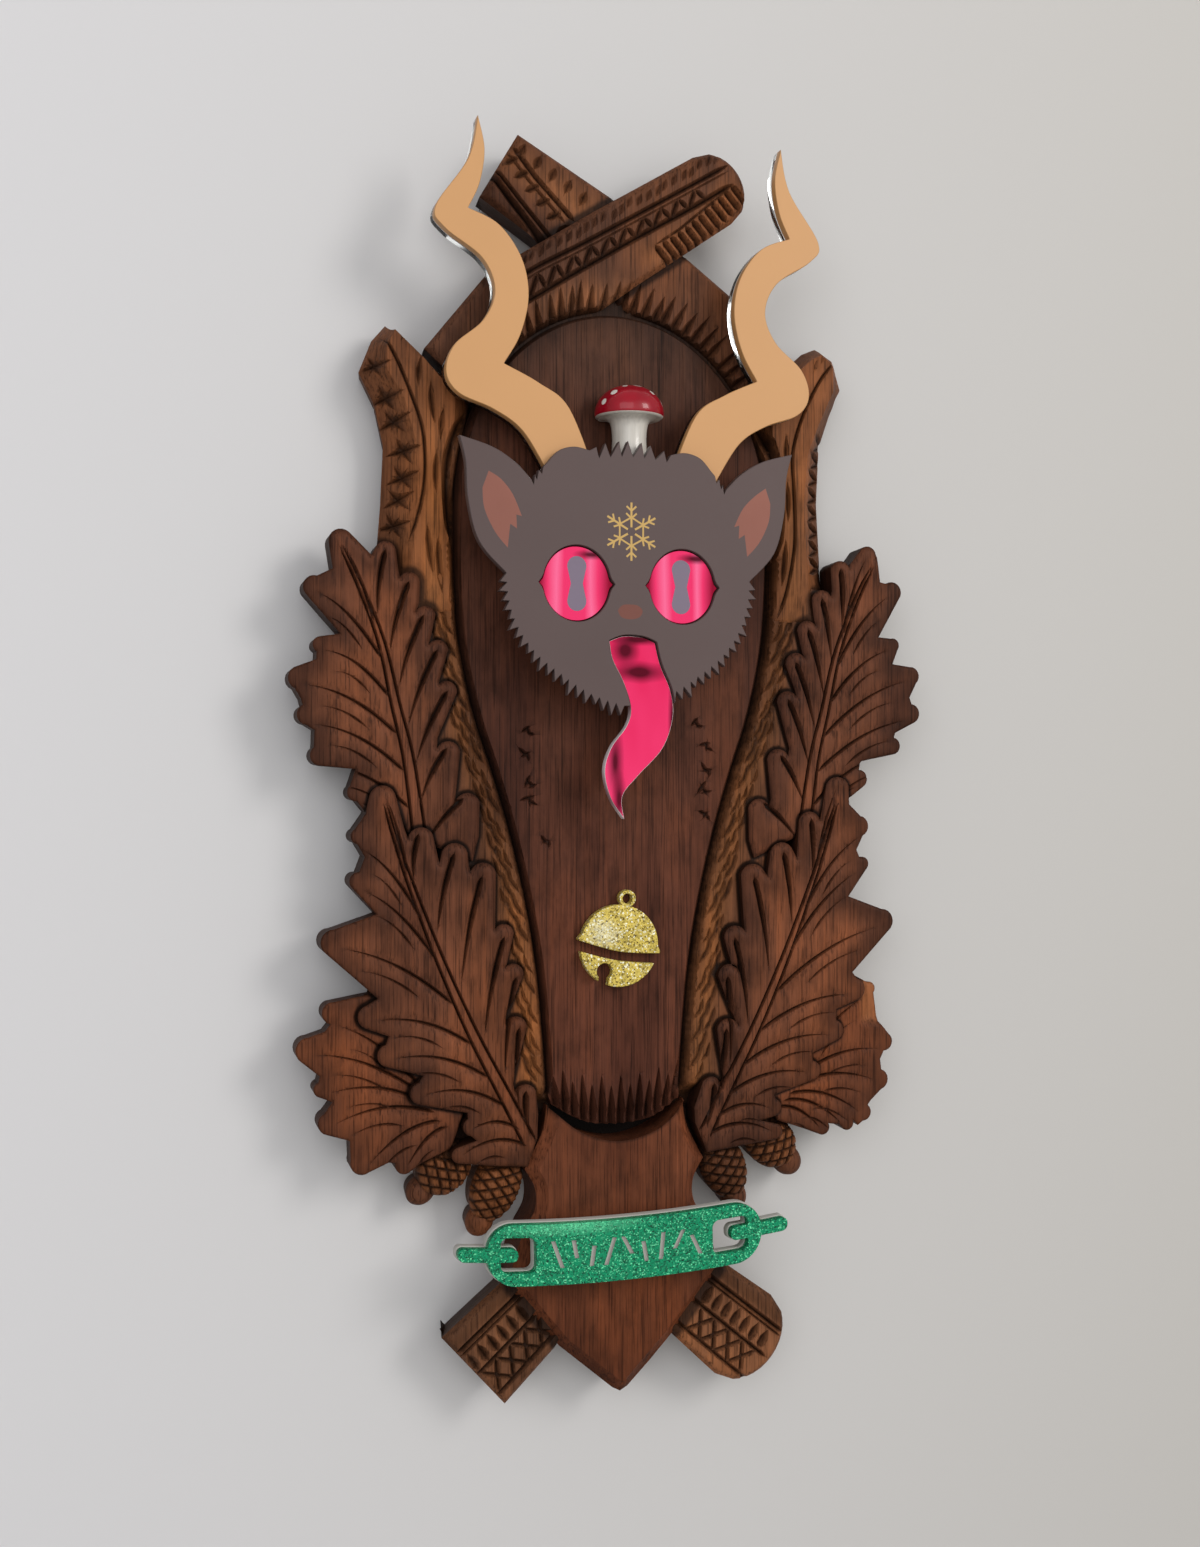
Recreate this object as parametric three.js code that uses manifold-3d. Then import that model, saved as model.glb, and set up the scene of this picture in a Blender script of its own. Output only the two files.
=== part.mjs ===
// Wall mask: a carved wooden trophy board that carries a horned beast's head, a bell,
// a toadstool and a name tag. Millimetres, +Z up, the back of the board on y = 0 and the
// front towards -Y. The origin lies on the back of the crossed logs at the top.
import * as THREE from "three";
import { mergeVertices } from "three/addons/utils/BufferGeometryUtils.js";
import Module from "manifold-3d";

const wasm = await Module();
wasm.setup();

// Heights above the wall
const GROUND = 9.5;
const HUB = 15;
const PANEL = 17.2;
const RAIL = 18;
const LOG = 20;
const SHIELD = 19.4;
const LEAF_EDGE = 18;
const LEAF_CROWN = 20;
const LEAF_STEP = 1.2;
const LEAF_FLOOR = 9;
const LEAF_BEVEL = 1.6;
const LOWER_LOG = LOG - 2;
const ACORN_HEIGHT = 18.5;
const ACORN_MIDDLE = LEAF_FLOOR + 3;
const NUT_MIDDLE = LEAF_FLOOR + 4;
const SHOULDER_FRONT = RAIL + 1;
const BEVEL = 3.5;

// Outline sizes of the board
const LOG_HALF = 12.5;
const RAIL_HALF = 12.3;
const RAIL_BEVEL = 1;
const RAIL_UNDERCUT = 2;
const LOG_BEVEL = 2;
const LOG_UNDERCUT = 3;
const SLAB_UNDERCUT = 2;
const NECK_WAIST = 9.5;
const NECK_TAPER = 0.8;
const PANEL_TOP = -11;
const PANEL_HALF = 54.5;
const PANEL_SPRING = -76;
const PANEL_FOOT = -279.5;
const CORE_GROW = 6;
const SHIELD_TOP = -272;
const SHIELD_TIP = -367.8;

// Carving
const VEIN_WIDTH = 1.7;
const VEIN_DEPTH = 1.3;
const VEIN_START = 0.28;
const VEIN_MARGIN = 0.14;
const TIP_SWEEP = 66;
const TIP_STEPS = 2;
const RIB_GAP = 3.4;
const RIB_STEPS = 2;
const RIB_CREST = 0.3;
const PANEL_GROOVE_WIDTH = 3.4;
const PANEL_GROOVE_DEPTH = 3.2;
const NOTCH_WIDTH = 3;
const NOTCH_DEPTH = 1.8;
const RIB_DEPTH = 1.8;
const BARK_WIDTH = 2;
const BARK_DEPTH = 1.6;
const RUNG_WIDTH = 2.1;
const RUNG_DEPTH = 1.4;
const RUNG_LEAN = 1.8;
const FLUTES = 7;
const FLUTE_SPREAD = 18.5;
const FLUTE_WIDTH = 4.4;
const FLUTE_DEPTH = 3.6;
const NECK_NOTCHES = 4;
const NECK_NOTCH_PITCH = 11;
const NECK_NOTCH_TOP = -42;
const NECK_NOTCH_DEPTH = 3.6;
const NECK_NOTCH_HEIGHT = 15.5;
const HATCH_WIDTH = 2;
const HATCH_DEPTH = 2.2;
const CUTTER_RISE = 2.5;

// Sheets
const SHEET = 3;
const GAP = 0.3;
const HEAD_FRONT = 34;
const HORN_FRONT = HEAD_FRONT - SHEET - GAP;
const MIRROR_RECESS = 1.2;
const INLAY_GAP = 0.35;
const TAG_FRONT = 31;
const BELL_FRONT = PANEL + GAP + SHEET;

// Drawing in the front view: x to the right, y up, z away from the wall
const at = (x, y) => new THREE.Vector2(x, y);
const mirrored = (point, side) => at(side * point[0], point[1]);
const points = (pairs) => pairs.map(([x, y]) => at(x, y));

function spline(points, samples) {
  const curve = new THREE.SplineCurve(points);
  return curve.getSpacedPoints(samples);
}

function arc(cx, cy, radius, from, to, steps) {
  const round = [];
  for (let i = 0; i <= steps; i += 1) {
    const angle = THREE.MathUtils.degToRad(THREE.MathUtils.lerp(from, to, i / steps));
    round.push(at(cx + radius * Math.cos(angle), cy + radius * Math.sin(angle)));
  }
  return round;
}

function turned(points, degrees, cx, cy) {
  const centre = at(cx, cy);
  const angle = THREE.MathUtils.degToRad(degrees);
  return points.map((point) => point.clone().rotateAround(centre, angle));
}

function counterclockwise(points) {
  return THREE.ShapeUtils.isClockWise(points) ? points.slice().reverse() : points;
}

function inset(points, distance) {
  const count = points.length;
  return points.map((point, i) => {
    const before = point.clone().sub(points[(i + count - 1) % count]).normalize();
    const after = points[(i + 1) % count].clone().sub(point).normalize();
    const bisector = at(-before.y - after.y, before.x + after.x);
    const spread = Math.max(bisector.lengthSq() / 2, 0.5);
    return point.clone().addScaledVector(bisector, distance / spread);
  });
}

function toManifold(positions, faces) {
  const rough = new THREE.BufferGeometry();
  rough.setAttribute("position", new THREE.Float32BufferAttribute(positions, 3));
  rough.setIndex(faces);
  const geometry = mergeVertices(rough);
  return new wasm.Manifold(new wasm.Mesh({
    numProp: 3,
    vertProperties: new Float32Array(geometry.getAttribute("position").array),
    triVerts: new Uint32Array(geometry.index.array),
  }));
}

// A closed stack of one outline at several heights, each level { z, inset }
function tablet(outline, levels) {
  const base = counterclockwise(outline);
  return stack(levels.map((level) => inset(base, level.inset)), levels.map((level) => level.z));
}

function stack(outlines, heights) {
  const flip = THREE.ShapeUtils.isClockWise(outlines[0]);
  const rings = outlines.map((outline) => (flip ? outline.slice().reverse() : outline));
  const count = rings[0].length;
  const positions = [];
  rings.forEach((ring, k) => ring.forEach((point) => positions.push(point.x, point.y, heights[k])));
  const faces = [];
  const top = (rings.length - 1) * count;
  for (const [a, b, c] of THREE.ShapeUtils.triangulateShape(rings[0], [])) {
    faces.push(c, b, a);
  }
  for (const [a, b, c] of THREE.ShapeUtils.triangulateShape(rings[rings.length - 1], [])) {
    faces.push(top + a, top + b, top + c);
  }
  for (let k = 0; k < rings.length - 1; k += 1) {
    for (let i = 0; i < count; i += 1) {
      const j = (i + 1) % count;
      const low = k * count;
      const high = low + count;
      faces.push(low + i, low + j, high + j, low + i, high + j, high + i);
    }
  }
  return toManifold(positions, faces);
}

// A closed stack of different outlines with the same number of points, each layer { z, outline }
function loft(layers) {
  const rings = layers.map((layer) => layer.outline.map(([x, y]) => at(x, y)));
  return stack(rings, layers.map((layer) => layer.z));
}

const plate = (outline, back, front) => tablet(outline, [{ z: back, inset: 0 }, { z: front, inset: 0 }]);

function bevelled(outline, top, bevel, undercut = 0) {
  return tablet(outline, [
    { z: 0, inset: undercut },
    { z: top - bevel, inset: 0 },
    { z: top, inset: bevel },
  ]);
}

// A V-shaped cutter along a path: shallower towards both ends, or, when straight, towards its end
function groove(path, width, depth, surface, endShare = 0.25) {
  const slope = width / 2 / depth;
  const last = path.length - 1;
  const positions = [];
  path.forEach((point, i) => {
    const ahead = path[Math.min(i + 1, last)].clone().sub(path[Math.max(i - 1, 0)]).normalize();
    const share = i === last || (i === 0 && last > 1) ? endShare : 1;
    const half = slope * (CUTTER_RISE + depth * share);
    positions.push(point.x - ahead.y * half, point.y + ahead.x * half, surface + CUTTER_RISE);
    positions.push(point.x + ahead.y * half, point.y - ahead.x * half, surface + CUTTER_RISE);
    positions.push(point.x, point.y, surface - depth * share);
  });
  const faces = [0, 2, 1, 3 * last, 3 * last + 1, 3 * last + 2];
  for (let i = 0; i < last; i += 1) {
    for (let side = 0; side < 3; side += 1) {
      const a = 3 * i + side;
      const b = 3 * i + ((side + 1) % 3);
      faces.push(a, b, b + 3, a, b + 3, a + 3);
    }
  }
  return toManifold(positions, faces);
}

const joined = (solids) => solids.reduce((whole, solid) => whole.add(solid));

// Leaves, x outwards from the middle. A row is one lobe: [tip x, tip y, tip radius, notch x, notch y],
// the notch being the one that follows it. Outer lobes run down the outside, inner ones down the inside.
const LEAVES = {
  upper: {
    lift: 0,
    crest: { left: [82, -94.5], right: [84, -91.5] },
    foot: { left: [[80, -180], [49, -192]], right: [[80, -178], [48.5, -192]] },
    rib: [[92, -92], [86, -104], [79, -122], [74.3, -142], [70, -160], [66, -188]],
    from: 0.16,
    outer: {
      left: [[93.6, -87.1, 4, 94.3, -99.3], [103.2, -103.4, 3.6, 92, -119.8],
        [100.6, -122.8, 2.6, 99.5, -128], [108.3, -133.5, 3.8, 104.3, -140.5],
        [105.5, -146, 3.4, 100, -150.3], [101.2, -159.5, 3.4, 87, -162.5], [89.5, -171, 2.8, 84, -176]],
      right: [[91.2, -85, 3.4, 95.3, -97.2], [101.6, -97.8, 3.6, 94.5, -116.3],
        [101.8, -117.6, 2.4, 99.8, -125.5], [109.6, -128.2, 3.2, 106.3, -137],
        [110, -142, 3.4, 100.8, -149.3], [102.6, -153.6, 3, 88, -159.2], [90, -164.5, 3.2, 83.2, -172]],
    },
    inner: {
      left: [[77.3, -90, 3.4, 73.4, -98.7], [69.2, -99.6, 3.5, 66.6, -109.4],
        [64.3, -110.2, 3.4, 62.8, -120.3], [59.6, -121.1, 3.4, 60, -134], [56.2, -134.4, 3.4, 60.6, -152.4],
        [56.6, -153.4, 4, 54.6, -170.6], [50.6, -170, 4.2, 47, -184]],
      right: [[80, -90.4, 3.8, 77.2, -101], [72.5, -100.8, 3.8, 70.6, -111],
        [67.2, -111.4, 3.8, 66.2, -122.6], [62.4, -122.6, 3.9, 63.4, -135], [59.6, -135.6, 3.9, 61.4, -155],
        [56.6, -155.2, 4.1, 54.6, -172.4], [50, -172, 4.1, 46.6, -186]],
    },
  },
  spread: {
    lift: -1,
    crest: { left: [78, -233], right: [82, -231] },
    foot: { left: [[56, -284], [50, -268]], right: [[57, -281], [50, -266]] },
    rib: [[66, -262], [62, -268], [56, -276]],
    from: 0.1,
    outer: {
      left: [[97.4, -239.5, 3.6, 96.5, -245], [105.5, -249.6, 4.2, 98, -259], [100, -263.3, 2.4, 94, -267.2],
        [98.6, -274.4, 3.6, 88.5, -279.7], [86.8, -290, 3.8, 76, -287.3], [72.6, -290.9, 3, 65.5, -288]],
      right: [[93.8, -236.4, 2.4, 95, -249], [99.9, -257, 3.2, 95.5, -262], [98.4, -269, 3.6, 92, -276],
        [91.8, -281, 3, 87, -284.4], [84.6, -285.2, 2.4, 80, -283.7], [75.6, -286.2, 2.6, 67, -284.5]],
    },
    inner: { left: [], right: [] },
  },
  lower: {
    lift: LEAF_STEP,
    crest: { left: [71.4, -181.5], right: [72.8, -178] },
    foot: { left: [[31, -291], [27.6, -282]], right: [[31, -290], [27, -280]] },
    rib: [[78, -173], [72.8, -190], [67, -206], [59, -226], [49, -248], [39, -267], [30, -284]],
    from: 0.1,
    outer: {
      left: [[79, -167.6, 4.4, 84, -176.5], [88.8, -184, 2.6, 84.3, -190.2], [89, -196.8, 3, 80.5, -208.3],
        [98, -215.6, 4.2, 80, -235], [86.4, -240.4, 3.8, 76.5, -247], [80.2, -252.8, 3.6, 65.5, -260],
        [69.7, -265.3, 3.6, 51, -272.5], [52.4, -277.6, 3, 48, -281.6], [56.2, -286, 2.6, 42, -290]],
      right: [[79, -164.6, 4.2, 83, -174], [89.9, -181, 3.6, 85.5, -189.6], [89.4, -192.8, 2.4, 82.5, -205.5],
        [99, -212.8, 4.2, 84, -231.5], [88.6, -237, 3.8, 78, -244], [80.6, -251, 3.6, 69, -258.6],
        [72, -264, 3.4, 55, -272], [57.6, -276.4, 3, 50, -280.4], [58, -284.4, 2.6, 42, -288.6]],
    },
    inner: {
      left: [[66.8, -181, 4.2, 60.2, -192.5], [54.8, -186, 4.4, 50.6, -193.4],
        [45.6, -192.4, 4.4, 41.8, -213], [38.2, -212.4, 3.4, 38, -225.4], [34.6, -225.4, 3.5, 37.4, -241.6],
        [34, -242.4, 3.6, 35.6, -264], [31.8, -264.4, 3.6, 27.4, -274]],
      right: [[68.6, -176.4, 4.2, 63.6, -192], [58, -186.8, 4.4, 52.8, -198], [47, -194, 4.5, 44.4, -215.6],
        [40, -214.8, 4.1, 40, -228], [38, -227.6, 4.1, 41.6, -247], [38.2, -245.8, 4.2, 37.4, -266],
        [34, -265.2, 3.8, 26.6, -275]],
    },
  },
};

// A lobe's rounded tip, between the notches on its two sides
function lobeTip(before, [x, y, radius, notchX, notchY], side) {
  const tip = mirrored([x, y], side);
  const notch = mirrored([notchX, notchY], side);
  const outward = tip.clone().sub(before.clone().add(notch).multiplyScalar(0.5)).normalize();
  const centre = tip.clone().addScaledVector(outward, -radius);
  const heading = THREE.MathUtils.radToDeg(outward.angle());
  const turn = Math.sign(before.clone().sub(centre).cross(outward)) * TIP_SWEEP;
  const cap = arc(centre.x, centre.y, radius, heading - turn, heading + turn, TIP_STEPS);
  return { cap, notch, tip };
}

function leaf({ lift, crest, foot, rib, from, outer, inner }, side) {
  const hand = side < 0 ? "left" : "right";
  const spine = new THREE.SplineCurve(rib.map((point) => mirrored(point, side)));
  const start = mirrored(crest[hand], side);
  const top = LEAF_CROWN + lift;
  const cuts = [];
  const flank = (rows) => {
    const edge = [];
    let before = start;
    rows.forEach((row, i) => {
      const { cap, notch, tip } = lobeTip(before, row, side);
      edge.push(...cap, notch);
      before = notch;
      const root = spine.getPoint(Math.min(from + ((1 - from) * (i + 1)) / rows.length, 1));
      const vein = [root.clone().lerp(tip, VEIN_START), tip.clone().lerp(root, VEIN_MARGIN)];
      cuts.push(groove(vein, VEIN_WIDTH, VEIN_DEPTH, top));
    });
    return edge;
  };
  const outside = flank(outer[hand]);
  const inside = flank(inner[hand]);
  const base = foot[hand].map((point) => mirrored(point, side));
  const outline = [start, ...outside, ...base, ...inside.reverse()];
  const blade = tablet(outline, [
    { z: LEAF_FLOOR, inset: 0 },
    { z: LEAF_EDGE + lift, inset: 0 },
    { z: top, inset: LEAF_BEVEL },
  ]);
  if (inside.length > 0) {
    for (const offset of [-RIB_GAP / 2, RIB_GAP / 2]) {
      const path = spine.getSpacedPoints(RIB_STEPS).map((point, i) => at(
        point.x + offset * (RIB_CREST + i / RIB_STEPS),
        point.y,
      ));
      cuts.push(groove(path, VEIN_WIDTH, RIB_DEPTH, top));
    }
  }
  return { solids: [blade], cuts };
}

// A bar of wood along an axis, with its own half width at every axis point; a round end bulges past
// the first axis point
function barOutline(axis, halves, bulge = 0) {
  const left = [];
  const right = [];
  const last = axis.length - 1;
  axis.forEach((point, i) => {
    const ahead = axis[Math.min(i + 1, last)].clone().sub(axis[Math.max(i - 1, 0)]).normalize();
    left.push(at(point.x - ahead.y * halves[i], point.y + ahead.x * halves[i]));
    right.push(at(point.x + ahead.y * halves[i], point.y - ahead.x * halves[i]));
  });
  const heading = axis[0].clone().sub(axis[1]).normalize();
  const round = bulge > 0 ? arc(0, 0, 1, 60, -60, 4).map((unit) => at(
    axis[0].x + heading.x * bulge * unit.x + heading.y * halves[0] * unit.y,
    axis[0].y + heading.y * bulge * unit.x - heading.x * halves[0] * unit.y,
  )) : [];
  return [...right.reverse(), ...round.reverse(), ...left];
}

// Long grooves beside the axis of a log and short notches across it
function barkCuts(axis, half, top, notches, from, to) {
  const cuts = [];
  const direction = axis[1].clone().sub(axis[0]).normalize();
  const across = at(-direction.y, direction.x);
  for (const share of [-0.5, 0.3]) {
    const start = axis[0].clone().addScaledVector(across, half * share);
    const end = axis[1].clone().addScaledVector(across, half * share);
    cuts.push(groove([start, end], BARK_WIDTH, BARK_DEPTH, top));
  }
  const length = axis[0].distanceTo(axis[1]);
  for (let i = 0; i < notches; i += 1) {
    const middle = axis[0].clone().addScaledVector(direction, length * ((i + 0.7) / notches));
    const a = middle.clone().addScaledVector(across, half * from);
    const b = middle.clone().addScaledVector(across, half * to).addScaledVector(direction, RUNG_LEAN);
    cuts.push(groove([a, b], RUNG_WIDTH, RUNG_DEPTH, top));
  }
  return cuts;
}

const panelArch = (half, top, samples) => {
  const arch = [];
  for (let i = 0; i <= samples; i += 1) {
    const angle = Math.PI * (i / samples);
    arch.push(at(half * Math.cos(angle), PANEL_SPRING + (top - PANEL_SPRING) * Math.sin(angle)));
  }
  return arch;
};

// Right edge of the tear-shaped panel, from the foot of the arch down
const PANEL_SIDE = [[PANEL_HALF, PANEL_SPRING], [54.3, -100], [52.5, -122], [47.8, -144], [41.5, -163],
  [35.5, -183], [30.3, -205], [26.5, -227], [24.3, -250], [23, -268]];

function panelEdge(grow, top) {
  const right = PANEL_SIDE.slice(1).map(([x, y]) => at(x + grow, y));
  const left = PANEL_SIDE.slice(1).map(([x, y]) => at(-x - grow, y));
  return [...right.reverse(), ...panelArch(PANEL_HALF + grow, top + grow, 12), ...left];
}

// Crossed logs at the top, the right one lying over the left one
const TOP_LEFT_LOG = [at(-40, 34.2), at(0, 10.5), at(33, -14), at(54, -38)];
const TOP_LEFT_HALVES = [12.6, 14, 14.4, 13];
const TOP_RIGHT_LOG = [at(33.5, 32.6), at(0, 10.5), at(-34, -13), at(-54, -37)];
const TOP_RIGHT_HALVES = [12.6, 13.8, 15.2, 14.4];
const TOP_RIGHT_BULGE = 11.4;
const FOOT_LOGS = {
  left: [at(-48, -356.6), at(-28, -338.5), at(-6, -322)],
  right: [at(45.5, -353), at(28, -338.5), at(6, -322)],
};
const FOOT_HALVES = { left: [15.6, 14.4, 13], right: [16, 14.4, 13] };
const FOOT_BULGE = { left: 0, right: 13.5 };

// Right rail from under the neck down to the shield
const RAIL_AXIS = [[66.6, -100], [65, -120], [58.5, -147], [52, -167], [46, -187], [41, -208],
  [37.5, -232], [35, -256], [33, -276]];

function rail(side) {
  const axis = RAIL_AXIS.map((point) => mirrored(point, side));
  return bevelled(barOutline(axis, axis.map(() => RAIL_HALF)), RAIL, RAIL_BEVEL, RAIL_UNDERCUT);
}

// Shoulder and neck of each rail: [x, y] at the widest, then [x, y] on the flat front
const SHOULDERS = {
  left: [[-48, -40, -55, -42], [-66, -28, -65, -31], [-76, -19.2, -74.5, -22.5], [-80.5, -24.5, -77, -27.5],
    [-84.6, -34.8, -77, -35.5], [-79.5, -45, -71.5, -44], [-76.6, -58, -67.6, -58], [-77.4, -76, -66.6, -76],
    [-78.8, -94, -69, -94], [-79, -112, -70, -112], [-48, -112, -57, -112]],
  right: [[48, -38, 55, -40], [63, -24.5, 63, -28], [70, -18, 69.5, -22], [75, -15.9, 73.5, -20],
    [81.3, -19.5, 77.5, -23.5], [84.6, -29.5, 77.6, -32.5], [80.4, -39, 72.6, -43], [76.6, -50, 68.2, -54],
    [75.6, -70, 66.6, -72], [77, -94, 68, -94], [79, -112, 69, -112], [48, -112, 57, -112]],
};

function shoulder(hand) {
  const low = SHOULDERS[hand].map(([x, y]) => [x, y]);
  const high = SHOULDERS[hand].map(([, , x, y]) => [x, y]);
  const middle = low.reduce((sum, [x]) => sum + x / low.length, 0);
  const foot = low.map(([x, y]) => [middle + (x - middle) * NECK_TAPER, y]);
  return loft([
    { z: 0, outline: foot },
    { z: NECK_WAIST, outline: low },
    { z: SHOULDER_FRONT, outline: high },
  ]);
}

function neckCuts(side) {
  const cuts = [];
  for (let i = 0; i < NECK_NOTCHES; i += 1) {
    const y = NECK_NOTCH_TOP - i * NECK_NOTCH_PITCH;
    const zigzag = [[68.5, y], [75.5, y - NECK_NOTCH_PITCH / 2], [69, y - NECK_NOTCH_PITCH]];
    const path = zigzag.map((point) => mirrored(point, side));
    cuts.push(groove(path, NOTCH_WIDTH, NECK_NOTCH_DEPTH, NECK_NOTCH_HEIGHT));
  }
  return cuts;
}

// Acorn: a cross-hatched cup and a smooth nut at its end
function acorn({ cup: [cupX, cupY], nut: [nutX, nutY], long, wide, radius }) {
  const heading = Math.atan2(nutY - cupY, nutX - cupX);
  const cup = new THREE.SphereGeometry(1, 8, 4);
  cup.scale(long, wide, ACORN_HEIGHT - ACORN_MIDDLE);
  cup.rotateZ(heading);
  cup.translate(cupX, cupY, ACORN_MIDDLE);
  const nut = new THREE.SphereGeometry(radius, 7, 4);
  nut.scale(NUT_STRETCH, 1, 1);
  nut.rotateZ(heading);
  nut.translate(nutX, nutY, NUT_MIDDLE);
  const cuts = [];
  const ahead = at(Math.cos(heading), Math.sin(heading));
  const across = at(-ahead.y, ahead.x);
  for (const lean of [-1, 1]) {
    const a = at(cupX, cupY).addScaledVector(across, -wide).addScaledVector(ahead, -lean * wide);
    const b = at(cupX, cupY).addScaledVector(across, wide).addScaledVector(ahead, lean * wide);
    cuts.push(groove([a, b], HATCH_WIDTH, HATCH_DEPTH, ACORN_HEIGHT, 1));
  }
  return { solids: [cup, nut].map(fromGeometry), cuts };
}

function fromGeometry(geometry) {
  const bare = new THREE.BufferGeometry();
  bare.setAttribute("position", geometry.getAttribute("position"));
  bare.setIndex(geometry.index);
  const welded = mergeVertices(bare);
  const kept = [];
  const index = welded.index.array;
  for (let i = 0; i < index.length; i += 3) {
    const [a, b, c] = [index[i], index[i + 1], index[i + 2]];
    if (a !== b && b !== c && c !== a) {
      kept.push(a, b, c);
    }
  }
  return toManifold(welded.getAttribute("position").array, kept);
}

const NUT_STRETCH = 1.15;
const ACORNS = [
  { cup: [-57, -291], nut: [-64, -298.3], long: 10, wide: 8.5, radius: 4.6 },
  { cup: [-39.5, -298], nut: [-44.5, -309.5], long: 12.5, wide: 8, radius: 4.6 },
  { cup: [57, -289], nut: [63.8, -296.2], long: 10.5, wide: 8.5, radius: 5 },
  { cup: [39.5, -296], nut: [44.2, -307], long: 12.5, wide: 8, radius: 4.6 },
];

// Shield with a cusped waist, bevelled towards its pointed foot
function shieldOutline() {
  const side = [[23.5, SHIELD_TOP], [24.8, -280], [28, -287], [31, -292.5], [27.5, -299],
    [27.5, -306], [31.2, -313], [34.6, -322], [36.3, -330], [19.3, -351]];
  const left = side.map(([x, y]) => at(-x, y));
  const right = side.map(([x, y]) => at(x, y)).reverse();
  return [...left, at(-1, SHIELD_TIP + 1.4), at(1.7, SHIELD_TIP), at(4.2, SHIELD_TIP + 1.4), ...right];
}

// Thin ground behind each row of leaves, x outwards from the middle
const GROUND_SLAB = [[60, -90], [84, -118], [90, -150], [76, -172], [80, -215], [84, -262], [66, -284],
  [30, -290], [20, -270], [40, -170]];
// Solid middle behind the panel's foot, and the wood behind the crossing of the top logs
const CORE_FOOT = [[-40, -290], [-22, -296], [22, -296], [40, -290]];
const HUB_OUTLINE = [[-44, -34], [44, -34], [28, 3], [12, 14], [0, 21], [-12, 14], [-28, 3]];

function carvedBoard() {
  const core = [...panelEdge(CORE_GROW, PANEL_TOP), ...points(CORE_FOOT)];
  const solids = [plate(core, 0, PANEL), plate(points(HUB_OUTLINE), 0, HUB)];
  const cuts = [];
  for (const side of [-1, 1]) {
    const hand = side < 0 ? "left" : "right";
    solids.push(rail(side), shoulder(hand));
    cuts.push(...neckCuts(side));
    const slab = GROUND_SLAB.map((point) => mirrored(point, side));
    solids.push(tablet(slab, [{ z: 0, inset: SLAB_UNDERCUT }, { z: GROUND, inset: 0 }]));
    for (const name of ["upper", "spread", "lower"]) {
      const made = leaf(LEAVES[name], side);
      solids.push(...made.solids);
      cuts.push(...made.cuts);
    }
    const foot = barOutline(FOOT_LOGS[hand], FOOT_HALVES[hand], FOOT_BULGE[hand]);
    solids.push(bevelled(foot, LOWER_LOG, LOG_BEVEL, LOG_UNDERCUT));
    cuts.push(...barkCuts(FOOT_LOGS[hand], LOG_HALF, LOWER_LOG, 4, -0.4, 0.2));
  }
  const underLog = barOutline(TOP_LEFT_LOG, TOP_LEFT_HALVES);
  const overLog = barOutline(TOP_RIGHT_LOG, TOP_RIGHT_HALVES, TOP_RIGHT_BULGE);
  solids.push(bevelled(underLog, LOWER_LOG, LOG_BEVEL, LOG_UNDERCUT));
  solids.push(bevelled(overLog, LOG, LOG_BEVEL, LOG_UNDERCUT));
  cuts.push(...barkCuts([TOP_LEFT_LOG[0], at(-12, 18)], LOG_HALF, LOWER_LOG, 5, -0.4, 0.2));
  cuts.push(...barkCuts([TOP_RIGHT_LOG[0], at(-24, -5)], LOG_HALF, LOG, 7, 0.35, 0.8));
  for (const measures of ACORNS) {
    const made = acorn(measures);
    solids.push(...made.solids);
    cuts.push(...made.cuts);
  }
  solids.push(bevelled(shieldOutline(), SHIELD, BEVEL));
  const bed = panelEdge(0, PANEL_TOP);
  cuts.push(tablet(bed, [{ z: PANEL, inset: 0.6 }, { z: LOG + SHEET, inset: -0.6 }]));
  cuts.push(groove(bed, PANEL_GROOVE_WIDTH, PANEL_GROOVE_DEPTH, PANEL, 1));
  cuts.push(...footCuts());
  return joined(solids).subtract(joined(cuts));
}

// Deep crescent under the panel and the flutes that run down into it
const CRESCENT_FLOOR = 5.5;
const CRESCENT_LOWER = [[-23, -273], [-12, -281.5], [1, -284.7], [14, -281.5], [24, -273]];
const CRESCENT_UPPER = [[23, -272], [12, -278], [0, PANEL_FOOT], [-11, -278], [-22, -272]];

function footCuts() {
  const crescent = [...spline(points(CRESCENT_LOWER), 8), ...spline(points(CRESCENT_UPPER), 8)];
  const cuts = [plate(crescent, CRESCENT_FLOOR, LOG + SHEET)];
  for (let i = 0; i < FLUTES; i += 1) {
    const share = (i / (FLUTES - 1)) * 2 - 1;
    const x = share * FLUTE_SPREAD;
    const low = PANEL_FOOT + 6 * share * share;
    cuts.push(groove([at(x, low - 1), at(x, low + 12)], FLUTE_WIDTH, FLUTE_DEPTH, PANEL, 0.3));
  }
  return cuts;
}

// Horns: one spline outside, three stretches with two sharp notches inside
const HORN_MIDDLE = 1.4;
const HORN_OUTER = [[51.8, 44.4], [54.9, 30.5], [65.4, 14.5], [62.5, 7.8], [50.4, -0.6], [46.2, -10.6],
  [50, -20.3], [59.3, -28.8], [62, -37.5], [57.8, -44], [46.5, -48.4], [37, -54.8], [28.5, -68]];
const HORN_INNER = [
  [[51.8, 44.4], [49.6, 34], [51.2, 23], [54.9, 14.8]],
  [[54.9, 14.8], [44.8, 10.4], [37.4, 0.4], [35.1, -11.5], [37.8, -24], [43.2, -33.6]],
  [[43.2, -33.6], [31.5, -39.1], [21.6, -46.5], [12.5, -68]],
];

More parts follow.
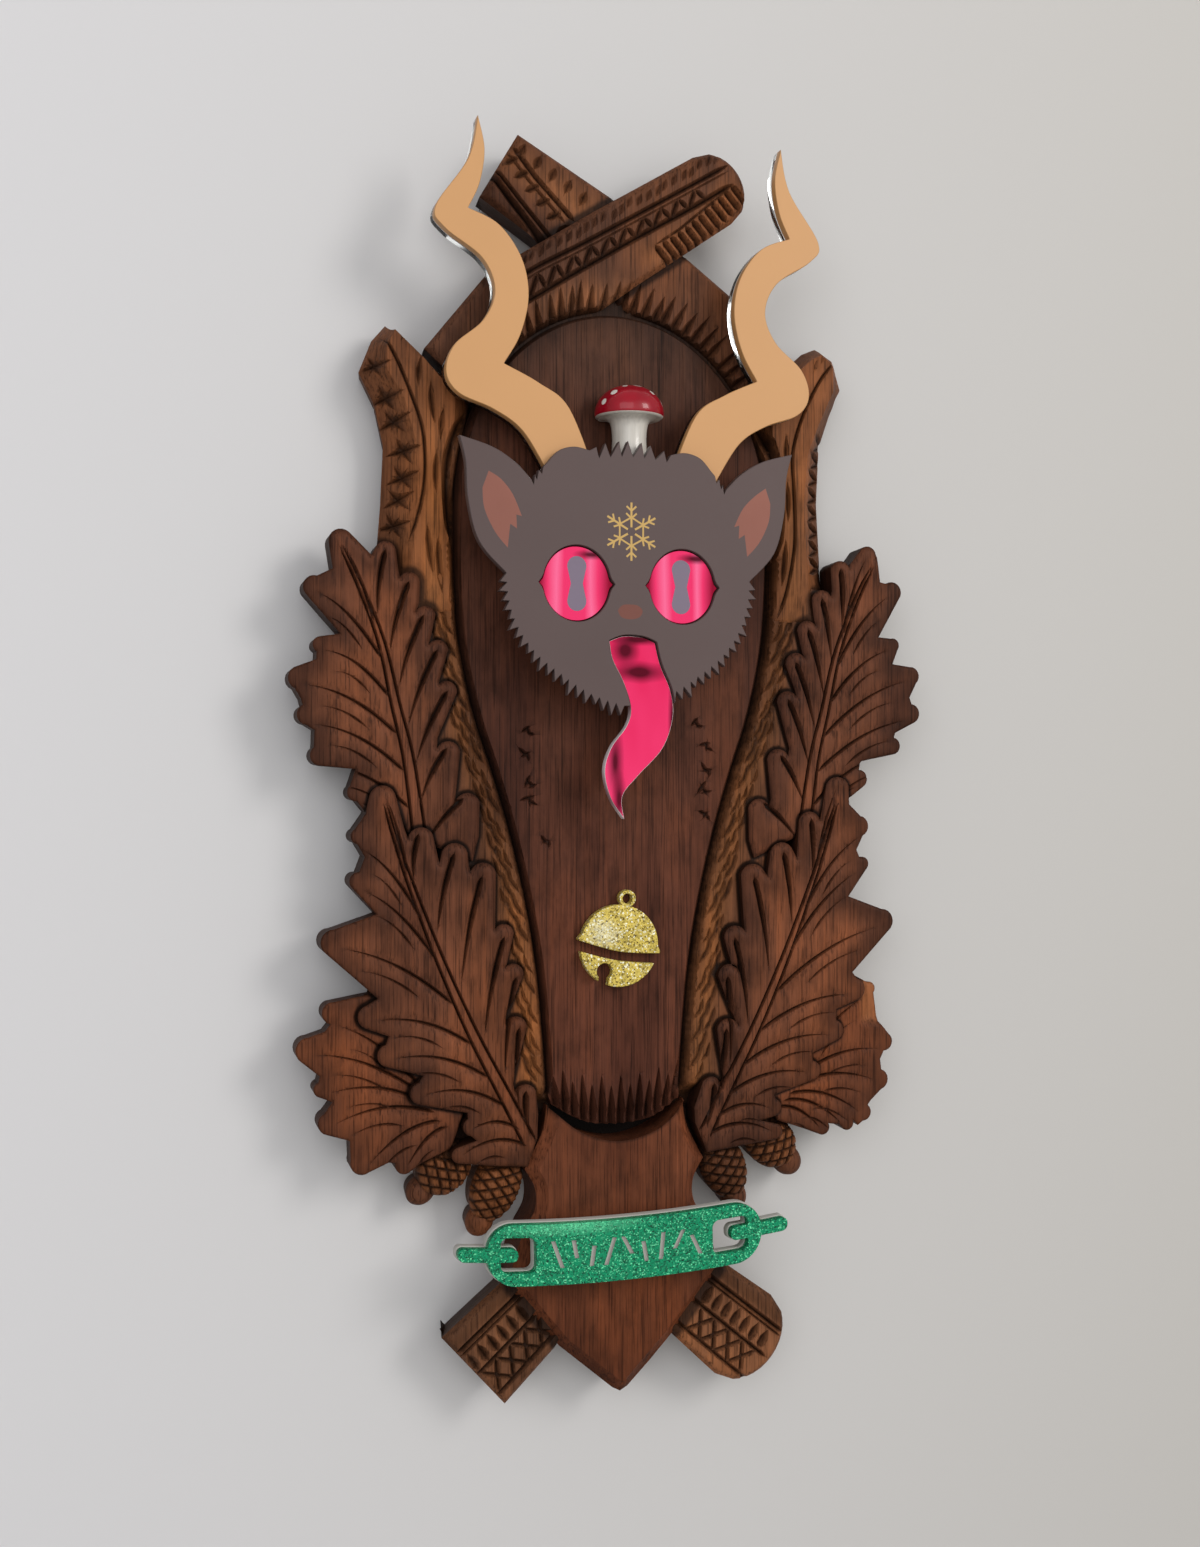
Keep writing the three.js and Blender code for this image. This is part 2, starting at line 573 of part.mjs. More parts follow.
function hornOutline(side) {
  const place = ([d, y]) => at(HORN_MIDDLE + side * d, y);
  const outline = spline(HORN_OUTER.map(place), 18);
  const inside = HORN_INNER.map((stretch) => spline(stretch.map(place), 6).slice(1)).flat();
  return [...outline, ...inside.reverse()].slice(0, -1);
}

const horn = (side) => plate(hornOutline(side), HORN_FRONT - SHEET, HORN_FRONT);
const hornBacking = (side) => plate(
  hornOutline(side),
  HORN_FRONT - 2 * SHEET - GAP,
  HORN_FRONT - SHEET - GAP,
);

// Head: ears, two domes with tufts between them, and a fringe of fur round the cheeks
const HEAD_MIDDLE = -0.6;
const EYE_APART = 17.9;
const EYE_HEIGHT = -103;
const EYE_RADIUS = 11.9;
const EYE_REACH = 12.3;
const TOOTH_PITCH = 3.6;
const TOOTH_DEPTH = 2.6;
const TUFTS = 5;
const TUFT_SPREAD = 13.4;

function fringe(points, depth, lean) {
  const teeth = [];
  points.forEach((point, i) => {
    const next = points[Math.min(i + 1, points.length - 1)];
    const previous = points[Math.max(i - 1, 0)];
    const ahead = next.clone().sub(previous).normalize();
    teeth.push(point);
    if (i < points.length - 1) {
      const out = at(ahead.y, -ahead.x);
      teeth.push(point.clone().lerp(next, lean).addScaledVector(out, -depth * (i % 2 ? 0.8 : 1)));
    }
  });
  return teeth;
}

function headSide(side) {
  const place = ([d, y]) => at(HEAD_MIDDLE + side * d, y);
  const dome = spline([[13.8, -60.3], [18.8, -59.4], [24, -60.9], [27.9, -65]].map(place), 6);
  const tuft = [[29.4, -66.4], [30.2, -69.4], [31.3, -68.4], [31.9, -71.8]].map(place);
  const earTop = spline([[33, -70.6], [38.5, -65.2], [46, -60.8], [56.4, -57.8]].map(place), 5);
  const earSide = spline([[56.4, -57.8], [54.4, -66], [53.6, -78], [50, -91], [41.2, -100.6]].map(place), 8);
  const cheek = new THREE.SplineCurve([[41.2, -100.6], [40.4, -108.5], [37.6, -117], [31.5, -125.5],
    [22.5, -132.6], [13, -138.4], [2, -142]].map(place));
  const count = Math.round(cheek.getLength() / TOOTH_PITCH);
  const fur = fringe(cheek.getSpacedPoints(count), side * TOOTH_DEPTH * -1, 0.65);
  return [...dome, ...tuft, ...earTop, ...earSide.slice(1), ...fur.slice(1)];
}

function tufts() {
  const tips = [];
  for (let i = 0; i < TUFTS; i += 1) {
    const share = ((i + 0.5) / TUFTS) * 2 - 1;
    const x = HEAD_MIDDLE - share * TUFT_SPREAD;
    const rise = 3.4 * (1 - share * share);
    tips.push(at(x + 0.9, -63 + rise * 0.4), at(x - (i % 2) * 0.8, -60 + rise));
  }
  return tips;
}

function headOutline() {
  const right = headSide(1);
  const left = headSide(-1);
  return [...right, ...left.reverse(), ...tufts().reverse()];
}

// Almond eye: a circle with a small point at each side
function eyeOutline(side, grow) {
  const cx = HEAD_MIDDLE + side * EYE_APART;
  const radius = EYE_RADIUS + grow;
  const upper = arc(cx, EYE_HEIGHT, radius, 38, 142, 7);
  const lower = arc(cx, EYE_HEIGHT, radius, 218, 322, 7);
  const reach = EYE_REACH + grow * Math.SQRT2;
  return [at(cx + reach, EYE_HEIGHT), ...upper, at(cx - reach, EYE_HEIGHT), ...lower];
}

// Tongue: hangs from the mouth, swings right, then left to a pointed tip
const TONGUE_SHIFT = 0.9;
function tongueOutline() {
  const place = ([x, y]) => at(x + TONGUE_SHIFT, y);
  const top = [[-8.3, -121.2], [-3.5, -119.5], [3, -119.8], [7.2, -121.4]].map(place);
  const right = spline([[7.2, -121.4], [9, -128.5], [12.6, -137], [13.4, -145.5], [9.8, -155.6],
    [1.5, -164.4], [-3.8, -171], [-3.2, -178.4]].map(place), 13);
  const left = spline([[-3.2, -178.4], [-7.8, -171.6], [-9.8, -163], [-7.6, -155.4], [-2.4, -148.4],
    [-1, -142.5], [-3.4, -134.6], [-7.2, -127], [-8.3, -121.2]].map(place), 13);
  return [...top, ...right.slice(1), ...left.slice(1, -1)];
}

const MIRROR_FRONT = HEAD_FRONT - MIRROR_RECESS;
const inlaid = (outline) => plate(outline, MIRROR_FRONT - SHEET, MIRROR_FRONT);

function headPlate() {
  const blank = plate(headOutline(), HEAD_FRONT - SHEET, HEAD_FRONT);
  const through = (outline) => plate(outline, HEAD_FRONT - 2 * SHEET, HEAD_FRONT + SHEET);
  const slot = inset(counterclockwise(tongueOutline()), -INLAY_GAP);
  return blank
    .subtract(through(eyeOutline(-1, INLAY_GAP)))
    .subtract(through(eyeOutline(1, INLAY_GAP)))
    .subtract(through(slot));
}

// Bell: a dome with a ring above, and a separate cup with a keyhole slot below
const BELL_MIDDLE = at(0.2, -220.2);
const BELL_RADIUS = 13.4;
const BELL_TILT = -10.2;

function bellUpper() {
  const { x, y } = BELL_MIDDLE;
  const flare = BELL_RADIUS + 0.9;
  const dome = arc(x, y, BELL_RADIUS, 8, 172, 12);
  const rim = [at(x - flare, y + 0.2), at(x - flare, y - 0.5)];
  const sole = spline([at(x - flare, y - 0.5), at(x, y - 2), at(x + flare, y - 0.5)], 6);
  const outline = turned([...dome, ...rim, ...sole.slice(1), at(x + flare, y + 0.2)], BELL_TILT, x, y);
  const ring = turned(arc(x, y + 15.6, 2.85, 0, 330, 11), BELL_TILT, x, y);
  const hole = turned(arc(x, y + 15.6, 1.7, 0, 315, 7), BELL_TILT, x, y);
  const bridge = [[x - 2, y + 12.4], [x + 2, y + 12.4], [x + 1.5, y + 13.8], [x - 1.5, y + 13.8]];
  const neck = turned(points(bridge), BELL_TILT, x, y);
  const layer = (shape) => plate(shape, BELL_FRONT - SHEET, BELL_FRONT);
  const drill = plate(hole, 0, BELL_FRONT + SHEET);
  return joined([layer(outline), layer(ring), layer(neck)]).subtract(drill);
}

function bellLower() {
  const { x, y } = BELL_MIDDLE;
  const bowl = arc(x, y - 0.3, BELL_RADIUS, 196, 344, 11);
  const lip = spline([bowl[bowl.length - 1], at(x, y - 5), bowl[0]], 6);
  const body = turned([...bowl, ...lip.slice(1, -1)], BELL_TILT, x, y);
  const hole = turned(arc(x - 3.6, y - 9.2, 2.7, 0, 330, 11), BELL_TILT, x, y);
  const mouth = [[x - 5.3, y - 9.4], [x - 1.8, y - 9.4], [x - 1.6, y - 15], [x - 5.2, y - 15]];
  const slit = turned(points(mouth), BELL_TILT, x, y);
  const cut = (shape) => plate(shape, 0, BELL_FRONT + SHEET);
  return plate(body, BELL_FRONT - SHEET, BELL_FRONT).subtract(joined([cut(hole), cut(slit)]));
}

// Name tag: a slightly sagging link plate with a slot at each end and half a link through it
const TAG_MIDDLE = at(-0.4, -317.4);
const TAG_HALF = 46.6;
const TAG_RISE = 9.8;
const TAG_SAG = 2.2;
const TAG_TILT = 1.1;
const TAG_BACK_GROW = 0.25;
const STROKES = 9;

function onTag(points) {
  const bent = points.map((point) => at(
    TAG_MIDDLE.x + point.x,
    TAG_MIDDLE.y + point.y + TAG_SAG * (point.x / TAG_HALF) ** 2,
  ));
  return turned(bent, TAG_TILT, TAG_MIDDLE.x, TAG_MIDDLE.y);
}

function roundedBar(x0, x1, y0, y1, radius, steps) {
  const corner = (cx, cy, from) => arc(cx, cy, radius, from, from + 90, steps > 1 ? 3 : 2);
  const edge = [];
  const run = (fromX, toX, y) => {
    for (let i = 1; i < steps; i += 1) {
      edge.push(at(THREE.MathUtils.lerp(fromX, toX, i / steps), y));
    }
  };
  edge.push(...corner(x1 - radius, y1 - radius, 0));
  run(x1 - radius, x0 + radius, y1);
  edge.push(...corner(x0 + radius, y1 - radius, 90), ...corner(x0 + radius, y0 + radius, 180));
  run(x0 + radius, x1 - radius, y0);
  edge.push(...corner(x1 - radius, y0 + radius, 270));
  return edge;
}

// A slot and half a link at each end: [outer end, inner end, low, high], the first two measured
// inwards from the end of the plate
const TAG_CORNER = 9.2;
const TAG_ENDS = [
  { side: -1, slot: [4.4, 16, -5.6, 5.6], link: [-9.4, 10.2, -2.1, 2.2] },
  { side: 1, slot: [4.8, 17.2, -5.6, 5.6], link: [-9.4, 10.8, -2, 2.4] },
];
const SLOT_CORNER = 2.4;
const LINK_CORNER = 2;
const STROKE_SPAN = 47;
const STROKE_HALF = 4.3;
const STROKE_WIDTH = 1.4;
const STROKE_DEPTH = 0.9;

function tagPlate(back, front, grow) {
  const layer = (edge) => plate(onTag(edge), back, front);
  const cut = (edge) => plate(onTag(edge), back - SHEET, front + SHEET);
  const grown = ([x0, x1, y0, y1], by) => [x0 - by, x1 + by, y0 - by, y1 + by];
  const fromEnd = (side, [outer, inner, low, high]) => {
    const ends = [side * (TAG_HALF - outer), side * (TAG_HALF - inner)];
    return [Math.min(...ends), Math.max(...ends), low, high];
  };
  const body = grown([-TAG_HALF, TAG_HALF, -TAG_RISE, TAG_RISE], grow);
  const slots = TAG_ENDS.map(({ side, slot }) => cut(
    roundedBar(...grown(fromEnd(side, slot), -grow), SLOT_CORNER, 1),
  ));
  const links = TAG_ENDS.map(({ side, link }) => layer(
    roundedBar(...grown(fromEnd(side, link), grow), LINK_CORNER, 1),
  ));
  return layer(roundedBar(...body, TAG_CORNER, 5)).subtract(joined(slots)).add(joined(links));
}

// A row of shallow strokes in place of lettering
function nameTag() {
  const strokes = [];
  const half = STROKE_WIDTH / 2;
  for (let i = 0; i < STROKES; i += 1) {
    const x = STROKE_SPAN * (i / (STROKES - 1) - 0.5);
    const low = i % 3 === 1 ? -STROKE_HALF / 3 : -STROKE_HALF;
    const high = i % 3 === 2 ? STROKE_HALF / 2 : STROKE_HALF;
    const lean = (i % 4) - 1.5;
    const stroke = [[x - lean - half, low], [x - lean + half, low],
      [x + lean + half, high], [x + lean - half, high]];
    strokes.push(plate(onTag(points(stroke)), TAG_FRONT - STROKE_DEPTH, TAG_FRONT + SHEET));
  }
  return tagPlate(TAG_FRONT - SHEET, TAG_FRONT, 0).subtract(joined(strokes));
}

const tagBacking = () => tagPlate(TAG_FRONT - 2 * SHEET - GAP, TAG_FRONT - SHEET - GAP, TAG_BACK_GROW);

// Toadstool: turned cap and stem, flat at the back where it is glued to the panel
const TOADSTOOL = {
  x: 2.1, rim: -47.8, rimRise: 1.7, capRadius: 11.4, capHeight: 11.2, capSteps: 5,
  stemRadius: 6, stemFlare: 0.4, stemLength: 24, sides: 14,
};
// The stem stands just behind the head
const TOADSTOOL_DEPTH = HEAD_FRONT - SHEET - GAP - TOADSTOOL.stemRadius - TOADSTOOL.stemFlare;

function toadstool() {
  const { x, rim, rimRise, capRadius, capHeight, capSteps } = TOADSTOOL;
  const { stemRadius, stemFlare, stemLength, sides } = TOADSTOOL;
  const profile = points([[0, -stemLength], [stemRadius, -stemLength], [stemRadius + stemFlare, -1.2],
    [capRadius - 2.6, 0], [capRadius, rimRise]]);
  for (let i = 1; i < capSteps; i += 1) {
    const angle = (i / capSteps) * (Math.PI / 2);
    profile.push(at(capRadius * Math.cos(angle), rimRise + (capHeight - rimRise) * Math.sin(angle)));
  }
  profile.push(at(0, capHeight));
  const lathe = new THREE.LatheGeometry(profile, sides);
  lathe.translate(x, rim, TOADSTOOL_DEPTH);
  const reach = stemLength + capHeight;
  const front = plate(points([[x - reach, rim - reach], [x + reach, rim - reach], [x + reach, rim + reach],
    [x - reach, rim + reach]]), PANEL + GAP, TOADSTOOL_DEPTH + reach);
  return fromGeometry(lathe).intersect(front);
}

// Spacers behind the head and the tag; the head's one starts just under the toadstool's stem
const HEAD_SPACER = { halfWidth: 9, top: TOADSTOOL.rim - TOADSTOOL.stemLength - GAP, length: 22 };
const TAG_SPACER = { halfWidth: 20, top: -313.5, length: 8.5 };

function spacer({ halfWidth, top, length }, back, front) {
  const foot = top - length;
  const outline = [at(-halfWidth, foot), at(halfWidth, foot), at(halfWidth, top), at(-halfWidth, top)];
  return plate(outline, back + GAP, front - GAP);
}

function material(color, roughness, metalness) {
  return new THREE.MeshStandardMaterial({ color, roughness, metalness });
}

const WOOD = material(0x5a3a28, 0.7, 0);
const TAUPE = material(0x6b5b59, 0.6, 0);
const TAN = material(0xd9a56f, 0.5, 0);
const CLEAR = material(0xdfe3e2, 0.1, 0);
const RED_MIRROR = material(0xe0305f, 0.08, 1);
const GOLD_GLITTER = material(0xcdb362, 0.45, 0.4);
const GREEN_GLITTER = material(0x12925f, 0.45, 0.3);
const GREY_WHITE = material(0xb9b6ae, 0.5, 0);
const TOADSTOOL_RED = material(0xa80f28, 0.25, 0);
const DARK_SPACER = material(0x2a2422, 0.6, 0);

// The faces of the biggest closed shell, so that pockets shut in by carving are solid wood
function outerShell(triVerts, vertexCount) {
  const parent = Array.from({ length: vertexCount }, (unused, i) => i);
  const rootOf = (i) => {
    let root = i;
    while (parent[root] !== root) {
      parent[root] = parent[parent[root]];
      root = parent[root];
    }
    return root;
  };
  for (let i = 0; i < triVerts.length; i += 3) {
    parent[rootOf(triVerts[i])] = rootOf(triVerts[i + 1]);
    parent[rootOf(triVerts[i + 1])] = rootOf(triVerts[i + 2]);
  }
  const tally = new Map();
  for (const corner of triVerts) {
    tally.set(rootOf(corner), (tally.get(rootOf(corner)) ?? 0) + 1);
  }
  const [biggest] = [...tally].sort((a, b) => b[1] - a[1])[0];
  return triVerts.filter((corner) => rootOf(corner) === biggest);
}

function node(name, solid, look) {
  const { vertProperties, triVerts: allFaces } = solid.getMesh();
  const triVerts = outerShell(allFaces, vertProperties.length / 3);
  const geometry = new THREE.BufferGeometry();
  geometry.setAttribute("position", new THREE.BufferAttribute(new Float32Array(vertProperties), 3));
  geometry.setIndex(new THREE.BufferAttribute(new Uint32Array(triVerts), 1));
  geometry.rotateX(Math.PI / 2);
  geometry.computeVertexNormals();
  const mesh = new THREE.Mesh(geometry, look);
  mesh.name = name;
  return mesh;
}

const mask = new THREE.Group();
mask.name = "wall_mask";
mask.add(node("carved_board", carvedBoard(), WOOD));
mask.add(node("head_plate", headPlate(), TAUPE));
for (const [hand, side] of [["left", -1], ["right", 1]]) {
  mask.add(node(`horn_${hand}`, horn(side), TAN));
  mask.add(node(`horn_${hand}_backing`, hornBacking(side), CLEAR));
  mask.add(node(`eye_${hand}`, inlaid(eyeOutline(side, 0)), RED_MIRROR));
}
mask.add(node("tongue", inlaid(tongueOutline()), RED_MIRROR));
mask.add(node("toadstool", toadstool(), TOADSTOOL_RED));
mask.add(node("bell_upper", bellUpper(), GOLD_GLITTER));
mask.add(node("bell_lower", bellLower(), GOLD_GLITTER));
mask.add(node("name_tag", nameTag(), GREEN_GLITTER));
mask.add(node("name_tag_backing", tagBacking(), GREY_WHITE));
mask.add(node("head_standoff", spacer(HEAD_SPACER, PANEL, HEAD_FRONT - SHEET), DARK_SPACER));
mask.add(node("tag_standoff", spacer(TAG_SPACER, SHIELD, TAG_FRONT - 2 * SHEET - GAP), DARK_SPACER));

export default mask;
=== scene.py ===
import math

import bpy
import numpy as np
from mathutils import Matrix, Vector
from mathutils.geometry import delaunay_2d_cdt


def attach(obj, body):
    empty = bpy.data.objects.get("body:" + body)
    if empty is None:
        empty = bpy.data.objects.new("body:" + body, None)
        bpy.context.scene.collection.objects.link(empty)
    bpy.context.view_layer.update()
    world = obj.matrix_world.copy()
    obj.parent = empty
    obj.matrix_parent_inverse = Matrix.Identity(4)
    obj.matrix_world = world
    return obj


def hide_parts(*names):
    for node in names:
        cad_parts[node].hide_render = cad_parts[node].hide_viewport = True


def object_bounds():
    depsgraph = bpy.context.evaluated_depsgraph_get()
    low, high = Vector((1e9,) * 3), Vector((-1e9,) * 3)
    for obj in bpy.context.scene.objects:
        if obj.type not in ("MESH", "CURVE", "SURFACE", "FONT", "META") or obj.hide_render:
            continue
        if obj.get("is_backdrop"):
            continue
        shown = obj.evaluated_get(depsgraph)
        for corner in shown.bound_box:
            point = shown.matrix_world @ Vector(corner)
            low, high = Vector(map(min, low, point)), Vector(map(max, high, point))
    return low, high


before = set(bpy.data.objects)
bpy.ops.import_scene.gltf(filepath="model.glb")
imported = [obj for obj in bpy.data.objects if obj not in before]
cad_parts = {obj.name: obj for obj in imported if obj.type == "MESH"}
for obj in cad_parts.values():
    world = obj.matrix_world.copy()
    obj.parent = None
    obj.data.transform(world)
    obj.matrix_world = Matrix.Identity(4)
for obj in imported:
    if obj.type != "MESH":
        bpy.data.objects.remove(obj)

CAD_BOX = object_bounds()
MM = 0.001
scene = bpy.context.scene

# Heights above the wall, in mm, as in the solids
GROUND, HUB, PANEL, RAIL, LOG, SHIELD = 9.5, 15.0, 17.2, 18.0, 20.0, 19.4
LOWER_LOG = LOG - 2
BEVEL = 3.5
LEAF_CROWN, LEAF_STEP, LEAF_FLOOR = 20.0, 1.2, 9.0
GROOVE_DEPTH, GROOVE_WIDTH = 3.2, 1.7
SHEET, GAP = 3.0, 0.3
HEAD_FRONT = 34.0
HORN_FRONT = HEAD_FRONT - SHEET - GAP
MIRROR_FRONT = HEAD_FRONT - 1.2
TAG_FRONT = 31.0
BELL_FRONT = PANEL + GAP + SHEET


# Plane geometry, x to the right and y up, in mm

def arr(points):
    return np.array(points, float).reshape(-1, 2)


def catmull(points, per=14):
    p = arr(points)
    ext = np.vstack([p[:1], p, p[-1:]])
    t = np.linspace(0, 1, per, endpoint=False)[:, None]
    out = []
    for i in range(len(p) - 1):
        p0, p1, p2, p3 = ext[i:i + 4]
        v0, v1 = (p2 - p0) / 2, (p3 - p1) / 2
        out.append((2 * p1 - 2 * p2 + v0 + v1) * t**3 + (3 * p2 - 3 * p1 - 2 * v0 - v1) * t**2 + v0 * t + p1)
    out.append(p[-1:])
    return np.vstack(out)


def along(path, shares):
    """Points at shares of the path's length."""
    seg = np.hypot(*np.diff(path, axis=0).T)
    s = np.concatenate([[0], np.cumsum(seg)])
    shares = np.asarray(shares, float) * s[-1]
    return np.column_stack([np.interp(shares, s, path[:, k]) for k in (0, 1)])


def length_of(path):
    return float(np.hypot(*np.diff(path, axis=0).T).sum())


def spaced(path, step):
    return along(path, np.linspace(0, 1, max(2, int(math.ceil(length_of(path) / step)) + 1)))


def arc(cx, cy, radius, start, end, steps):
    a = np.radians(np.linspace(start, end, steps + 1))
    return np.column_stack([cx + radius * np.cos(a), cy + radius * np.sin(a)])


def turned(points, degrees, centre):
    a = math.radians(degrees)
    turn = np.array([[math.cos(a), math.sin(a)], [-math.sin(a), math.cos(a)]])
    return (arr(points) - centre) @ turn + centre


def mirrored(points, side):
    return arr(points) * [side, 1]


def area(loop):
    x, y = loop.T
    return 0.5 * float(np.sum(x * np.roll(y, -1) - np.roll(x, -1) * y))


def ccw(loop):
    loop = arr(loop)
    return loop if area(loop) > 0 else loop[::-1]


def densify(loop, step, closed=True):
    """Adds points so that no edge is longer than step; the loop's own points stay."""
    nxt = np.roll(loop, -1, 0) if closed else loop[1:]
    out = []
    for a, b in zip(loop if closed else loop[:-1], nxt):
        n = max(1, int(math.ceil(np.hypot(*(b - a)) / step)))
        out.append(a + (b - a) * (np.arange(n) / n)[:, None])
    if not closed:
        out.append(loop[-1:])
    return np.vstack(out)


def normals(loop):
    """Unit normals pointing into a counterclockwise loop."""
    ahead = np.roll(loop, -1, 0) - np.roll(loop, 1, 0)
    ahead /= np.maximum(np.hypot(*ahead.T), 1e-9)[:, None]
    return np.column_stack([-ahead[:, 1], ahead[:, 0]])


def mitred(both):
    """Turns the sum of two edges' unit normals into the step that moves both edges by one."""
    return 2 * both / np.maximum((both ** 2).sum(1), 1.2)[:, None]


def inset(loop, distance):
    """A counterclockwise loop with its edges moved inwards."""
    ahead = np.roll(loop, -1, 0) - loop
    ahead /= np.maximum(np.hypot(*ahead.T), 1e-9)[:, None]
    inward = np.column_stack([-ahead[:, 1], ahead[:, 0]])
    return loop + distance * mitred(inward + np.roll(inward, 1, 0))


def inside(points, loop):
    x, y = points.T
    hit = np.zeros(len(points), bool)
    nxt = np.roll(loop, -1, 0)
    for (ax, ay), (bx, by) in zip(loop, nxt):
        if ay != by:
            hit ^= ((ay > y) != (by > y)) & (x < (bx - ax) * (y - ay) / (by - ay) + ax)
    return hit


def nearest(points, path, closed=False):
    """Distance to the path, how far along it that is, and the side (positive to its left)."""
    a = path if closed else path[:-1]
    b = np.roll(path, -1, 0) if closed else path[1:]
    d = b - a
    size = np.maximum(np.hypot(*d.T), 1e-9)
    start = np.concatenate([[0], np.cumsum(size)[:-1]])
    dist, where, side = (np.zeros(len(points)) for _ in range(3))
    for i in range(0, len(points), 4000):
        p = points[i:i + 4000, None, :]
        t = np.clip(((p - a) * d).sum(2) / size**2, 0, 1)
        gap = p - (a + t[..., None] * d)
        r = np.hypot(gap[..., 0], gap[..., 1])
        k = r.argmin(1)
        row = np.arange(len(k))
        dist[i:i + 4000] = r[row, k]
        where[i:i + 4000] = start[k] + t[row, k] * size[k]
        q = p[:, 0] - a[k]
        side[i:i + 4000] = np.sign(d[k, 0] * q[:, 1] - d[k, 1] * q[:, 0])
    return dist, where, side


def smooth(x):
    x = np.clip(x, 0, 1)
    return x * x * (3 - 2 * x)


def srgb(r, g, b):
    """A colour written 0 to 255 as linear values."""
    c = np.array([r, g, b]) / 255
    return tuple(np.where(c <= 0.04045, c / 12.92, ((c + 0.055) / 1.055) ** 2.4))


# Triangle meshes in the plane

NEAR_POINTS = 1e-5
RIM_CLEAR = 0.28
MARK_CELL = 0.35
EDGE_STEP = 0.8
GRID_CELL = 0.7


def closing_edges(loops):
    """Index pairs that close each loop, counted through all of them."""
    edges, at = [], 0
    for loop in loops:
        n = len(loop)
        edges += [(at + i, at + (i + 1) % n) for i in range(n)]
        at += n
    return edges


def triangles(points, edges, near=NEAR_POINTS, kind=0):
    """Points and triangles of a Delaunay mesh that keeps the edges."""
    got, _, tris, *_ = delaunay_2d_cdt([Vector(v) for v in points], edges, [], kind, near, False)
    co = np.array([v[:] for v in got], float)
    return co, np.array([t for t in tris if len(t) == 3], int)


def turns(co, tris):
    """Twice the signed area of each triangle."""
    v = co[tris]
    return np.cross(v[:, 1] - v[:, 0], v[:, 2] - v[:, 0])


def facing(co, tris):
    """The triangles, all turned counterclockwise."""
    turn = turns(co, tris)
    tris[turn < 0] = tris[turn < 0][:, ::-1]
    return tris


def lattice(low, high, step):
    """Points in staggered rows between two corners."""
    grid = []
    for i, y in enumerate(np.arange(low[1], high[1], step * 0.87)):
        x = np.arange(low[0] + (i % 2) * step / 2, high[0], step)
        grid.append(np.column_stack([x, np.full(len(x), y)]))
    return np.vstack(grid)


def thinned(marks, grid, step):
    """The marks, one to a small cell, and the grid without the points beside them."""
    key = np.round(marks / MARK_CELL).astype(int)
    marks = marks[np.sort(np.unique(key, axis=0, return_index=True)[1])]
    taken = set(map(tuple, np.round(marks / (step * GRID_CELL)).astype(int)))
    cell = np.round(grid / (step * GRID_CELL)).astype(int)
    return marks, grid[[tuple(c) not in taken for c in cell]]


def surface(outline, holes, features, step):
    """Points and triangles inside the outline and outside the holes, dense along the features."""
    grid = lattice(outline.min(0), outline.max(0), step)
    marks = np.vstack(features)
    marks = marks[inside(marks, outline)]
    if len(marks):
        marks, grid = thinned(marks, grid, step)
    pts = np.vstack([grid, marks])
    pts = pts[inside(pts, outline)]
    loops = [outline] + holes
    keep = np.ones(len(pts), bool)
    for loop in loops:
        keep &= nearest(pts, loop, True)[0] > RIM_CLEAR
    for hole in holes:
        keep &= ~inside(pts, hole)
    co, tris = triangles(np.vstack(loops + [pts[keep]]), closing_edges(loops))
    mid = co[tris].mean(1)
    ok = inside(mid, outline)
    for hole in holes:
        ok &= ~inside(mid, hole)
    tris = tris[ok]
    return co, facing(co, tris[np.abs(turns(co, tris)) > 1e-6])


def open_edges(tris):
    """The triangles' edges that no other triangle shares, in the direction they run."""
    e = np.sort(np.vstack([tris[:, [0, 1]], tris[:, [1, 2]], tris[:, [2, 0]]]), axis=1)
    uniq, times = np.unique(e, axis=0, return_counts=True)
    single = set(map(tuple, uniq[times == 1]))
    return [(a, b) for t in tris for a, b in ((t[0], t[1]), (t[1], t[2]), (t[2], t[0]))
            if (min(a, b), max(a, b)) in single]


# Carved pieces: a top surface with grooves, walls and a flat back

PATH_STEP = 0.7
BACK_TINT, BACK_CAV = (0.07, 0.042, 0.026), 0.1
BACK_STEP = 0.03


def across_path(path):
    """Unit vectors to the left of a path at each of its points."""
    ahead = np.gradient(path, axis=0)
    ahead /= np.maximum(np.hypot(*ahead.T), 1e-9)[:, None]
    return np.column_stack([-ahead[:, 1], ahead[:, 0]])


